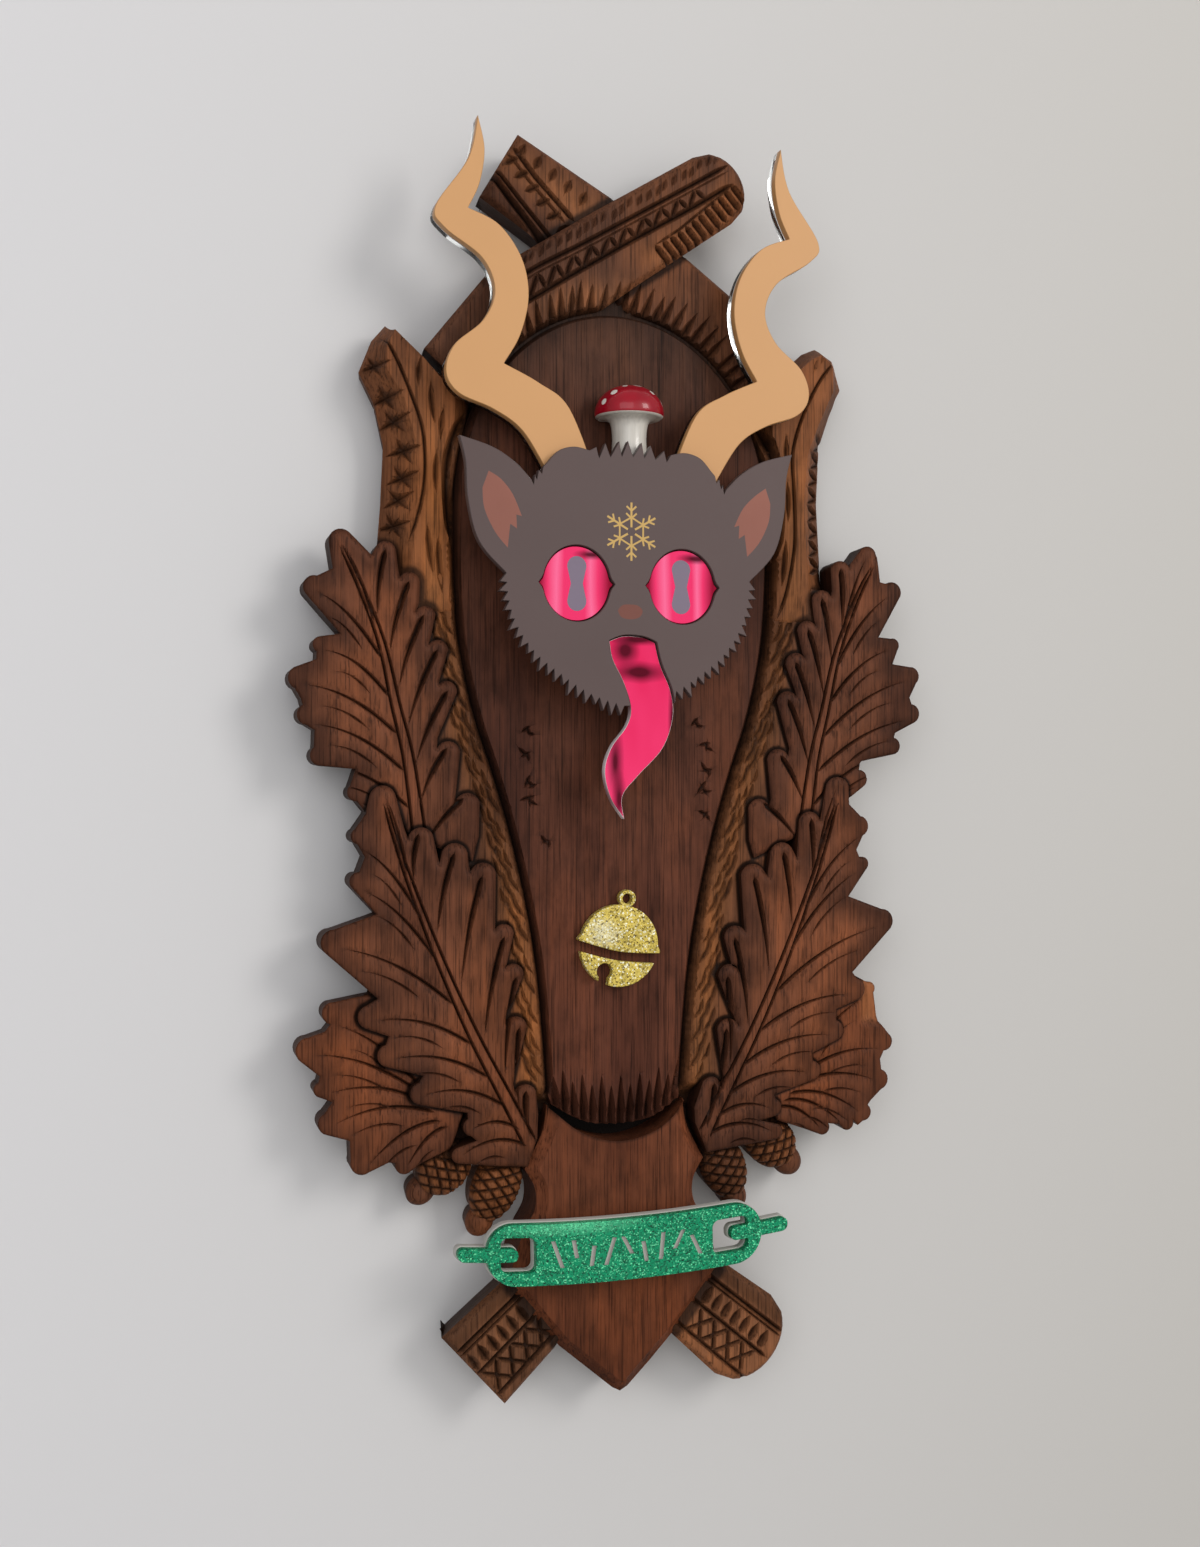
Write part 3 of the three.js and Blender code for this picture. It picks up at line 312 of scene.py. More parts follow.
class Cut:
    """A V gouge along a path; it thins out over `taper` mm at its start and `taper_end` at its end."""

    def __init__(self, path, width=1.7, depth=1.3, taper=6.0, taper_end=None, dark=1.0, swell=0.0):
        self.path = spaced(arr(path), PATH_STEP)
        self.width, self.depth, self.dark, self.swell = width, depth, dark, swell
        self.taper, self.taper_end = taper, taper if taper_end is None else taper_end
        self.length = length_of(self.path)
        reach = max(width, swell * 3) + 1
        self.low, self.high = self.path.min(0) - reach, self.path.max(0) + reach

    def share(self, where):
        """How much of its full width the gouge has at lengths along it."""
        first = np.clip((where + 0.15) / max(self.taper, 0.2), 0, 1)
        last = np.clip((self.length - where + 0.15) / max(self.taper_end, 0.2), 0, 1)
        return np.minimum(first, last) ** 0.75

    def features(self):
        """Rows of points down the middle and along both lips."""
        p = self.path
        half = (self.width / 2 * self.share(np.linspace(0, self.length, len(p))))[:, None]
        left = across_path(p)
        return np.vstack([p, p + left * half, p - left * half])

    def marks(self, points):
        """Depth of the gouge at points near it, and how dark it is painted there: dark stain and painted
        shade in the cut.
        """
        d, where, _ = nearest(points, self.path)
        share = self.share(where)
        v_cut = np.clip(1 - d / np.maximum(self.width / 2 * share, 1e-3), 0, 1)
        deep = self.depth * share * v_cut
        if self.swell:
            deep = deep + self.swell * share * np.exp(-(d / 1.9) ** 2)
        dark = self.dark * np.maximum(v_cut ** 0.6, 0.2 * np.exp(-(d / 1.3) ** 2)) * np.sqrt(share)
        return deep, dark


def bezier(a, m, b, n=14):
    t = np.linspace(0, 1, n)[:, None]
    return (1 - t)**2 * arr(a) + 2 * t * (1 - t) * arr(m) + t**2 * arr(b)


def rim_rings(outline, edge):
    """Two rings of points just inside the outline, where the rim is rounded off."""
    rings = []
    for distance in (edge * 0.5, edge):
        ring = outline + normals(outline) * distance
        gap = nearest(ring, outline, True)[0]
        rings.append(ring[(gap > distance * 0.9) & inside(ring, outline)])
    return rings


def shadow_rings(over):
    """Rings of points just outside the loops that lie over a piece, where their painted shadow falls."""
    rings = []
    for loop, _, reach in over:
        shadow = densify(ccw(loop), 0.9)
        rings += [shadow - normals(shadow) * out for out in (0.1, reach * 0.6, reach * 1.15)]
    return rings


def gouged(co, cuts):
    """How deep the cuts go at each point, and how dark they are painted there: dark stain and painted shade
    in the cuts.
    """
    depth, dark_stain_and_shade = np.zeros(len(co)), np.zeros(len(co))
    for cut in cuts:
        near = np.nonzero(((co > cut.low) & (co < cut.high)).all(1))[0]
        if not len(near):
            continue
        deep, dark = cut.marks(co[near])
        depth[near] = np.maximum(depth[near], deep)
        dark_stain_and_shade[near] = np.maximum(dark_stain_and_shade[near], dark)
    return depth, dark_stain_and_shade


def tucked(co, over, h, dark_stain_and_shade):
    """Lowers the wood under and beside the loops that lie over it, and darkens it there as a painted contact
    shadow.
    """
    for loop, strength, reach in over:
        d = nearest(co, loop, True)[0]
        out = ~inside(co, loop)
        dark_stain_and_shade = np.maximum(dark_stain_and_shade, strength * np.where(out, np.exp(-(d / reach) ** 5), 1.0))
        h = h - 0.5 * strength * np.where(out, np.exp(-(d / 0.9) ** 2), 1)
    return h, dark_stain_and_shade


class Carving:
    """Collects the carved pieces of the board as one mesh with its stain and painted shade in attributes."""

    def __init__(self):
        self.co, self.faces, self.tint, self.dark_stain_and_shade = [], [], [], []
        self.count, self.depth = 0, 0

    def add(self, co, faces, tint, dark_stain_and_shade):
        self.co.append(co)
        self.faces.append(np.asarray(faces, int).reshape(-1, 3) + self.count)
        self.tint.append(np.broadcast_to(tint, (len(co), 3)).copy())
        self.dark_stain_and_shade.append(np.broadcast_to(dark_stain_and_shade, len(co)).copy())
        self.count += len(co)

    def piece(self, outline, top, cuts=(), holes=(), floor=0.0, undercut=0.0, step=1.0, edge=1.2,
              drop=0.8, tint=(0.1, 0.05, 0.03), stain=None, extra=(), over=()):
        """One carved form: top gives its heights, stain its colours and painted shade, floor where its walls
        end.
        """
        outline = densify(ccw(outline), step * EDGE_STEP)
        holes = [densify(ccw(h), step * EDGE_STEP) for h in holes]
        features = [*extra, *rim_rings(outline, edge), *(cut.features() for cut in cuts), *shadow_rings(over)]
        co, tris = surface(outline, holes, features, step)
        rim = nearest(co, outline, True)[0]
        h = top(co, rim) if callable(top) else np.full(len(co), float(top))
        h = h - drop * (1 - np.clip(rim / edge, 0, 1)) ** 1.6
        depth, dark_stain_and_shade = gouged(co, cuts)
        h, dark_stain_and_shade = tucked(co, over, h - depth, dark_stain_and_shade)
        colour = np.broadcast_to(np.array(tint, float), (len(co), 3)).copy()
        if stain is not None:
            colour, dark_stain_and_shade = stain(co, rim, colour, dark_stain_and_shade)
        self.depth += BACK_STEP
        low_z = floor + (self.depth if floor == 0 else 0)
        self.add_walled(co, tris, h, rim, colour, dark_stain_and_shade, undercut, low_z)
        if floor == 0:
            self.add_back(inset(outline, undercut), low_z)

    def add_walled(self, co, tris, h, rim, colour, dark_stain_and_shade, undercut, low_z):
        """The top with walls from its open edges down to low_z, drawn in by the undercut; the walls are
        painted darker, most at their foot, as stain and painted shade on the sides.
        """
        directed = open_edges(tris)
        used = sorted({v for pair in directed for v in pair})
        index = {v: i for i, v in enumerate(used)}
        push = np.zeros((len(used), 2))
        for a, b in directed:
            ahead = co[b] - co[a]
            inward = np.array([-ahead[1], ahead[0]]) / max(np.hypot(*ahead), 1e-9)
            push[index[a]] += inward
            push[index[b]] += inward
        on_rim = (rim[used] < 0.02)[:, None]
        foot = co[used] + mitred(push) * undercut * on_rim
        base, n = len(co), len(used)
        full = np.vstack([np.column_stack([co, h]), np.column_stack([co[used], h[used]]),
                          np.column_stack([foot, np.full(n, low_z)])])
        walls = []
        for a, b in directed:
            i, j = base + index[a], base + index[b]
            walls += [(i, i + n, j + n), (i, j + n, j)]
        # Walls are darker copies of the top colour, darker still at the foot: stain and painted shade on the
        # sides.
        tints = np.vstack([colour, colour[used] * 0.9, colour[used] * 0.75])
        cavs = np.concatenate([dark_stain_and_shade, np.maximum(0.5 * dark_stain_and_shade[used], 0.4), np.full(n, 0.55)])
        self.add(full, np.vstack([tris, np.array(walls, int).reshape(-1, 3)]), tints, cavs)

    def add_back(self, outline, low_z):
        """The flat back, turned away from the front."""
        flat, tris = triangles(outline, closing_edges([outline]), kind=1)
        tris = facing(flat, tris[inside(flat[tris].mean(1), outline)])[:, ::-1]
        self.add(np.column_stack([flat, np.full(len(flat), low_z)]), tris, BACK_TINT, BACK_CAV)

    def build(self, name):
        co = np.vstack(self.co)
        co[:, 0] = np.clip(co[:, 0], CAD_BOX[0][0] / MM, CAD_BOX[1][0] / MM)
        mesh = to_mesh(name, co, np.vstack(self.faces))
        tint = mesh.attributes.new("tint", "FLOAT_COLOR", "POINT")
        colours = np.column_stack([np.vstack(self.tint), np.ones(len(co))])
        tint.data.foreach_set("color", colours.astype(np.float32).ravel())
        dark_stain_and_shade = mesh.attributes.new("dark_stain_and_shade", "FLOAT", "POINT")
        dark_stain_and_shade.data.foreach_set("value", np.concatenate(self.dark_stain_and_shade).astype(np.float32))
        return finish_mesh(name, mesh, 38)


def finish_mesh(name, mesh, sharp_above):
    """The mesh as an object, smooth but for edges sharper than the angle in degrees."""
    mesh.shade_smooth()
    mesh.set_sharp_from_angle(angle=math.radians(sharp_above))
    return add_object(name, mesh)


def to_mesh(name, co, faces, material_index=None):
    """Front-view coordinates in mm to a mesh in the row frame in metres."""
    mesh = bpy.data.meshes.new(name)
    world = np.column_stack([co[:, 0], -co[:, 2], co[:, 1]]) * MM
    faces = np.asarray(faces, np.int32)
    mesh.vertices.add(len(world))
    mesh.vertices.foreach_set("co", world.astype(np.float32).ravel())
    mesh.loops.add(faces.size)
    mesh.loops.foreach_set("vertex_index", faces.ravel())
    mesh.polygons.add(len(faces))
    mesh.polygons.foreach_set("loop_start", np.arange(0, faces.size, 3, dtype=np.int32))
    if material_index is not None:
        mesh.polygons.foreach_set("material_index", np.asarray(material_index, np.int32))
    mesh.update()
    mesh.validate()
    return mesh


def add_object(name, mesh):
    obj = bpy.data.objects.new(name, mesh)
    scene.collection.objects.link(obj)
    return obj


# The carved board: outlines in mm

LEAVES = {
    "upper": dict(
        lift=0.0, start=0.16, crest=dict(left=(82, -94.5), right=(84, -91.5)),
        foot=dict(left=[(80, -180), (49, -192)], right=[(80, -178), (48.5, -192)]),
        rib=[(92, -92), (86, -104), (79, -122), (74.3, -142), (70, -160), (66, -188)],
        outer=dict(
            left=[(93.6, -87.1, 4, 94.3, -99.3), (103.2, -103.4, 3.6, 92, -119.8),
                  (100.6, -122.8, 2.6, 99.5, -128),
                  (108.3, -133.5, 3.8, 104.3, -140.5), (105.5, -146, 3.4, 100, -150.3),
                  (101.2, -159.5, 3.4, 87, -162.5), (89.5, -171, 2.8, 84, -176)],
            right=[(91.2, -85, 3.4, 95.3, -97.2), (101.6, -97.8, 3.6, 94.5, -116.3),
                   (101.8, -117.6, 2.4, 99.8, -125.5), (109.6, -128.2, 3.2, 106.3, -137),
                   (110, -142, 3.4, 100.8, -149.3),
                   (102.6, -153.6, 3, 88, -159.2), (90, -164.5, 3.2, 83.2, -172)]),
        inner=dict(
            left=[(77.3, -90, 3.4, 73.4, -98.7), (69.2, -99.6, 3.5, 66.6, -109.4),
                  (64.3, -110.2, 3.4, 62.8, -120.3),
                  (59.6, -121.1, 3.4, 60, -134), (56.2, -134.4, 3.4, 60.6, -152.4),
                  (56.6, -153.4, 4, 54.6, -170.6), (50.6, -170, 4.2, 47, -184)],
            right=[(80, -90.4, 3.8, 77.2, -101), (72.5, -100.8, 3.8, 70.6, -111),
                   (67.2, -111.4, 3.8, 66.2, -122.6),
                   (62.4, -122.6, 3.9, 63.4, -135), (59.6, -135.6, 3.9, 61.4, -155),
                   (56.6, -155.2, 4.1, 54.6, -172.4), (50, -172, 4.1, 46.6, -186)])),
    "spread": dict(
        lift=-1.0, start=0.1, crest=dict(left=(78, -233), right=(82, -231)),
        foot=dict(left=[(56, -284), (50, -268)], right=[(57, -281), (50, -266)]),
        rib=[(66, -262), (62, -268), (56, -276)],
        outer=dict(
            left=[(97.4, -239.5, 3.6, 96.5, -245), (105.5, -249.6, 4.2, 98, -259),
                  (100, -263.3, 2.4, 94, -267.2),
                  (98.6, -274.4, 3.6, 88.5, -279.7), (86.8, -290, 3.8, 76, -287.3),
                  (72.6, -290.9, 3, 65.5, -288)],
            right=[(93.8, -236.4, 2.4, 95, -249), (99.9, -257, 3.2, 95.5, -262), (98.4, -269, 3.6, 92, -276),
                   (91.8, -281, 3, 87, -284.4), (84.6, -285.2, 2.4, 80, -283.7),
                   (75.6, -286.2, 2.6, 67, -284.5)]),
        inner=dict(left=[], right=[])),
    "lower": dict(
        lift=LEAF_STEP, start=0.1, crest=dict(left=(71.4, -181.5), right=(72.8, -178)),
        foot=dict(left=[(31, -291), (27.6, -282)], right=[(31, -290), (27, -280)]),
        rib=[(78, -173), (72.8, -190), (67, -206), (59, -226), (49, -248), (39, -267), (30, -284)],
        outer=dict(
            left=[(79, -167.6, 4.4, 84, -176.5), (88.8, -184, 2.6, 84.3, -190.2),
                  (89, -196.8, 3, 80.5, -208.3), (98, -215.6, 4.2, 80, -235), (86.4, -240.4, 3.8, 76.5, -247),
                  (80.2, -252.8, 3.6, 65.5, -260),
                  (69.7, -265.3, 3.6, 51, -272.5), (52.4, -277.6, 3, 48, -281.6),
                  (56.2, -286, 2.6, 42, -290)],
            right=[(79, -164.6, 4.2, 83, -174), (89.9, -181, 3.6, 85.5, -189.6),
                   (89.4, -192.8, 2.4, 82.5, -205.5),
                   (99, -212.8, 4.2, 84, -231.5), (88.6, -237, 3.8, 78, -244), (80.6, -251, 3.6, 69, -258.6),
                   (72, -264, 3.4, 55, -272), (57.6, -276.4, 3, 50, -280.4), (58, -284.4, 2.6, 42, -288.6)]),
        inner=dict(
            left=[(66.8, -181, 4.2, 60.2, -192.5), (54.8, -186, 4.4, 50.6, -193.4),
                  (45.6, -192.4, 4.4, 41.8, -213),
                  (38.2, -212.4, 3.4, 38, -225.4), (34.6, -225.4, 3.5, 37.4, -241.6),
                  (34, -242.4, 3.6, 35.6, -264), (31.8, -264.4, 3.6, 27.4, -274)],
            right=[(68.6, -176.4, 4.2, 63.6, -192), (58, -186.8, 4.4, 52.8, -198),
                   (47, -194, 4.5, 44.4, -215.6), (40, -214.8, 4.1, 40, -228), (38, -227.6, 4.1, 41.6, -247),
                   (38.2, -245.8, 4.2, 37.4, -266), (34, -265.2, 3.8, 26.6, -275)])),
}


def lobe_tip(before, row, side):
    x, y, radius, nx, ny = row
    tip, notch = np.array([side * x, y]), np.array([side * nx, ny])
    outward = tip - (before + notch) / 2
    outward /= np.hypot(*outward)
    centre = tip - outward * radius
    heading = math.degrees(math.atan2(outward[1], outward[0]))
    back = before - centre
    sweep = math.copysign(72, back[0] * outward[1] - back[1] * outward[0])
    return arc(*centre, radius, heading - sweep, heading + sweep, 8), notch, tip


def leaf_shape(name, side):
    """The leaf's outline, its midrib and the veins as (root, tip, outer)."""
    leaf, hand = LEAVES[name], "left" if side < 0 else "right"
    rib = catmull(mirrored(leaf["rib"], side))
    start = mirrored(leaf["crest"][hand], side)[0]
    veins, flanks = [], []
    for key in ("outer", "inner"):
        before, edge = start, []
        rows = leaf[key][hand]
        for i, row in enumerate(rows):
            cap, notch, tip = lobe_tip(before, row, side)
            edge += [cap, notch[None]]
            before = notch
            reach = (i + 1) / len(rows)
            if name == "lower":
                reach = reach * 0.7 + 0.3 * smooth(reach) + 0.1 * math.sin(math.pi * reach)
            share = leaf["start"] + (1 - leaf["start"]) * reach
            veins.append((along(rib, [min(share, 1.0)])[0], tip, key == "outer"))
        flanks.append(np.vstack(edge) if edge else np.zeros((0, 2)))
    foot = mirrored(leaf["foot"][hand], side)
    return np.vstack([start[None], flanks[0], foot, flanks[1][::-1]]), rib, veins


PANEL_SPRING, PANEL_TOP, PANEL_HALF = -76, -11, 54.5
PANEL_SIDE = [(54.3, -100), (52.5, -122), (47.8, -144), (41.5, -163), (35.5, -183), (30.3, -205),
              (26.5, -227), (24.3, -250), (23, -268)]
CRESCENT_LOWER = [(-23, -273), (-12, -281.5), (1, -284.7), (14, -281.5), (24, -273)]
CRESCENT_UPPER = [(22, -272), (12, -278), (0, -279.5), (-11, -278), (-22, -272)]


def panel_edge(grow=0.0, foot=True):
    a = np.radians(np.linspace(0, 180, 61))
    arch = np.column_stack([(PANEL_HALF + grow) * np.cos(a),
                            PANEL_SPRING + (PANEL_TOP + grow - PANEL_SPRING) * np.sin(a)])
    side = catmull([(PANEL_HALF, PANEL_SPRING)] + PANEL_SIDE, 6)[1:]
    right, left = side + [grow, 0], side * [-1, 1] - [grow, 0]
    end = catmull(CRESCENT_UPPER, 8) if foot else np.zeros((0, 2))
    return np.vstack([right[::-1], arch, left, end[::-1]])


def bar_outline(axis, halves, bulge=0.0):
    axis = arr(axis)
    ahead = np.array([axis[min(i + 1, len(axis) - 1)] - axis[max(i - 1, 0)] for i in range(len(axis))])
    ahead /= np.hypot(*ahead.T)[:, None]
    across = np.column_stack([-ahead[:, 1], ahead[:, 0]]) * np.array(halves, float)[:, None]
    heading = axis[0] - axis[1]
    heading /= np.hypot(*heading)
    cap = np.zeros((0, 2))
    if bulge:
        unit = arc(0, 0, 1, 60, -60, 12)
        cap = axis[0] + unit[:, :1] * bulge * heading + unit[:,
                                                             1:] * halves[0] * np.array([heading[1],
                                                                                         -heading[0]])
    return np.vstack([(axis - across)[::-1], cap[::-1], axis + across])


TOP_LEFT_LOG = [(-40, 34.2), (0, 10.5), (33, -14), (54, -38)]
TOP_LEFT_HALVES = [12.6, 14, 14.4, 13]
TOP_RIGHT_LOG = [(33.5, 32.6), (0, 10.5), (-34, -13), (-54, -37)]
TOP_RIGHT_HALVES = [12.6, 13.8, 15.2, 14.4]
FOOT_LOGS = {-1: [(-48, -356.6), (-28, -338.5), (-6, -322)], 1: [(45.5, -353), (28, -338.5), (6, -322)]}
FOOT_HALVES = {-1: [15.6, 14.4, 13], 1: [16, 14.4, 13]}
FOOT_BULGE = {-1: 0, 1: 13.5}
RAIL_AXIS = [(66.6, -100), (65, -120), (58.5, -147), (52, -167), (46, -187), (41, -208),
             (37.5, -232), (35, -256), (33, -276)]
SHOULDERS = {
    -1: [(-48, -40, -55, -42), (-66, -28, -65, -31), (-76, -19.2, -74.5, -22.5), (-80.5, -24.5, -77, -27.5),
         (-84.6, -34.8, -77, -35.5), (-79.5, -45, -71.5, -44), (-76.6, -58, -67.6, -58),
         (-77.4, -76, -66.6, -76),
         (-78.8, -94, -69, -94), (-79, -112, -70, -112), (-48, -112, -57, -112)],
    1: [(48, -38, 55, -40), (63, -24.5, 63, -28), (70, -18, 69.5, -22), (75, -15.9, 73.5, -20),
        (81.3, -19.5, 77.5, -23.5), (84.6, -29.5, 77.6, -32.5), (80.4, -39, 72.6, -43),
        (76.6, -50, 68.2, -54),
        (75.6, -70, 66.6, -72), (77, -94, 68, -94), (79, -112, 69, -112), (48, -112, 57, -112)],
}
ACORNS = [((-57, -291), (-64, -298.3), 10, 8.5, 4.6), ((-39.5, -298), (-44.5, -309.5), 12.5, 8, 4.6),
          ((57, -289), (63.8, -296.2), 10.5, 8.5, 5), ((39.5, -296), (44.2, -307), 12.5, 8, 4.6)]
GROUND_SLAB = [(60, -90), (84, -118), (90, -150), (76, -172), (80, -215), (84, -262), (66, -284),
               (30, -290), (20, -270), (40, -170)]
HUB_OUTLINE = [(-44, -34), (44, -34), (28, 3), (12, 14), (0, 21), (-12, 14), (-28, 3)]

STAIN_GAIN = np.array([1.34, 1.24, 1.1])


def tone(r, g, b):
    """A stain as it looks on the wall-lit wood, 0 to 255, to a linear colour."""
    return STAIN_GAIN * np.array(srgb(r, g, b))


def cross_path(start, heading, length, centre_share=0.5):
    d = np.array([math.cos(math.radians(heading)), math.sin(math.radians(heading))])
    return [np.array(start) - d * length * centre_share, np.array(start) + d * length * (1 - centre_share)]


def star(x, y, lean=0.0, size=1.0):
    """A chip-carved star: gouges that cross in one point."""
    rays = [(28, 11.5, 3.8, 2.5), (-52, 10.5, 3.5, 2.3), (74, 7, 2.0, 1.5), (-8, 7, 2.0, 1.5)]
    return [Cut(cross_path((x, y), angle + lean, length * size), width * size, depth,
                taper=length * size * 0.42, dark=0.9) for angle, length, width, depth in rays]


def make_board():
    board = Carving()
    panel = panel_edge()
    opening = panel_edge(0, foot=False)
    shapes = {(n, s): leaf_shape(n, s) for n in LEAVES for s in (-1, 1)}
    under_log = bar_outline(TOP_LEFT_LOG, TOP_LEFT_HALVES)
    over_log = bar_outline(TOP_RIGHT_LOG, TOP_RIGHT_HALVES, 11.4)
    shield = shield_outline()

    # ground behind everything, painted dark as shade between and behind the pieces
    board.piece(HUB_OUTLINE, HUB, step=4, tint=tone(40, 28, 24), edge=0.5, drop=0)
    for side in (-1, 1):
        board.piece(mirrored(GROUND_SLAB, side), GROUND, step=4, tint=tone(38, 26, 22), undercut=2, edge=0.5,
                    drop=0)
    # The pocket behind the crescent is painted near black: painted shade in the deep groove.
    board.piece([(-44, -262), (44, -262), (40, -290), (22, -296), (-22, -296), (-40, -290)], 5.5, step=3,
                tint=tone(22, 15, 13), edge=0.5, drop=0, stain=lambda co, rim, c, v: (c, np.maximum(v, 0.9)))

    make_panel(board, panel)
    for side in (-1, 1):
        make_rail(board, side, opening, shapes)
        make_neck(board, side, opening, shapes, under_log, over_log)
    make_lower_log(board, under_log, over_log, opening)
    make_upper_log(board, over_log, opening)
    for side in (-1, 1):
        for name in ("spread", "upper", "lower"):
            make_leaf(board, name, side, shapes)
    make_acorns(board, shapes, shield)
    for side in (-1, 1):
        make_foot_log(board, side, shield)
    make_shield(board, shield)
    return board.build("carved_relief")


def groove_slope(co, opening):
    """How high the wood may stand beside the black groove that runs round the panel."""
    return PANEL - GROOVE_DEPTH + nearest(co, opening, True)[0] * (GROOVE_DEPTH / GROOVE_WIDTH)


def make_panel(board, panel):
    flutes = []
    for i in range(14):
        share = (i / 13) * 2 - 1
        x = share * 20.5
        foot = -279.5 + 7.2 * share * share
        tall = (16.5 if i % 2 else 13.0) - 3.2 * share * share
        lean = share * 1.2
        flutes.append(Cut([(x + lean, foot + tall), (x, foot - 0.5)], 3.6, 3.3, taper=tall * 0.8,
                          taper_end=0.2, dark=0.75))
    chips = []
    for x, y, size in ((-30, -150, 2.9), (-31, -157.5, 3.4), (-29.5, -167, 3.6), (-29.5, -172.5, 4.2),
                       (-24, -186, 2.6),
                       (28.5, -147, 3), (32, -154.5, 3.2), (32, -162.5, 3.6), (31, -169, 4.6),
                       (31.5, -177.5, 2.8)):
        for k in range(3):
            angle = 35 + 70 * k + 9 * (x + y)
            middle = (x + 0.9 * (k - 1), y + 0.8 * (1 - k))
            chips.append(Cut(cross_path(middle, angle, size * (1.3 - 0.2 * k)), 1.6, 1.1, taper=size * 0.45,
                             dark=0.95))

    def top(co, rim):
        h = np.full(len(co), PANEL)
        d = nearest(co, panel, True)[0]
        side = smooth((co[:, 1] + 272) / 4)
        return h - side * np.maximum(0, GROOVE_DEPTH - d * (GROOVE_DEPTH / GROOVE_WIDTH))

    def stain(co, rim, colour, dark_stain_and_shade):
        x, y = co.T
        low = smooth((-y - 60) / 220)
        colour = colour * (1 - low[:, None]) + tone(83, 49, 38) * low[:, None]
        # Greyer and darker towards the top: painted shade under the arch.
        painted_top_shade = smooth((y + 62) / 40)[:, None]
        colour = colour * (1 - 0.55 * painted_top_shade) + tone(64, 48, 41) * 0.55 * painted_top_shade
        streak = np.exp(-((x + 3.5) / 1.3) ** 2) * smooth((y + 212) / 8) * smooth((-187 - y) / 5)
        colour = colour * (1 + 0.35 * streak[:, None])
        # Black along the edge: dark stain and painted shade in the groove. A soft painted shadow runs a few
        # mm in from the edge, strongest under the arch, and the foot is painted darker towards the bottom.
        d = nearest(co, panel_edge(0, False))[0]
        black = np.exp(-(d / 1.5) ** 2.2)
        painted_arch_shadow = (0.25 + 0.3 * smooth((y + 80) / 30)) * np.exp(-(d / 5) ** 1.5)
        soft = np.maximum(painted_arch_shadow, 0.4 * smooth((-262 - y) / 16))
        return colour, np.maximum(np.maximum(dark_stain_and_shade, black), soft)

    board.piece(panel, top, cuts=flutes + chips, step=2.2, edge=1.8, drop=0, tint=tone(78, 48, 38),
                stain=stain)


def make_rail(board, side, opening, shapes):
    outline = bar_outline(mirrored(RAIL_AXIS, side), [12.3] * len(RAIL_AXIS))
    cuts = []
    edge = catmull([(PANEL_HALF, PANEL_SPRING)] + PANEL_SIDE, 10)
    rng = np.random.default_rng(4 + side)
    for i, p in enumerate(spaced(edge, 2.9)[2:-2]):
        slip = rng.uniform(-1, 1)
        start = 2.0 + (i % 3) * 1.9
        reach = 8.0 + 2.4 * slip
        a = p + [start, -3.0 + slip]
        b = a + [reach * 0.5, reach]
        bend = (a + b) / 2 + [0.7, -0.6]
        cuts.append(Cut(mirrored([a, bend, b], side), 1.9 + 0.4 * slip, 1.0, taper=2.5,
                        dark=0.62 + 0.2 * slip))
    # The loops in over cast a painted shadow on this piece.
    over = [(shapes[(n, side)][0], 1.0, 1.3) for n in ("upper", "lower")]

    def top(co, rim):
        return np.minimum(RAIL, groove_slope(co, opening)) - 6 * smooth((-266 - co[:, 1]) / 6)

    def stain(co, rim, colour, dark_stain_and_shade):
        # Black along the opening: dark stain and painted shade in the groove.
        d = nearest(co, opening, True)[0]
        black = np.exp(-(d / 1.6) ** 2.4)
        glow = smooth((-co[:, 1] - 75) / 30)[:, None] * np.exp(-((d - 5.5) / 4.5) ** 2)[:, None]
        colour = colour * (1 - glow) + tone(112, 73, 46) * glow
        foot = smooth((-266 - co[:, 1]) / 6)
        return colour, np.maximum(np.maximum(dark_stain_and_shade, black), 0.95 * foot)

    board.piece(outline, top, cuts=cuts, holes=[opening], step=1.4, tint=tone(92, 60, 44), over=over,
                stain=stain, undercut=2, edge=1.0, drop=0.6, extra=[panel_edge(2.0, False)])


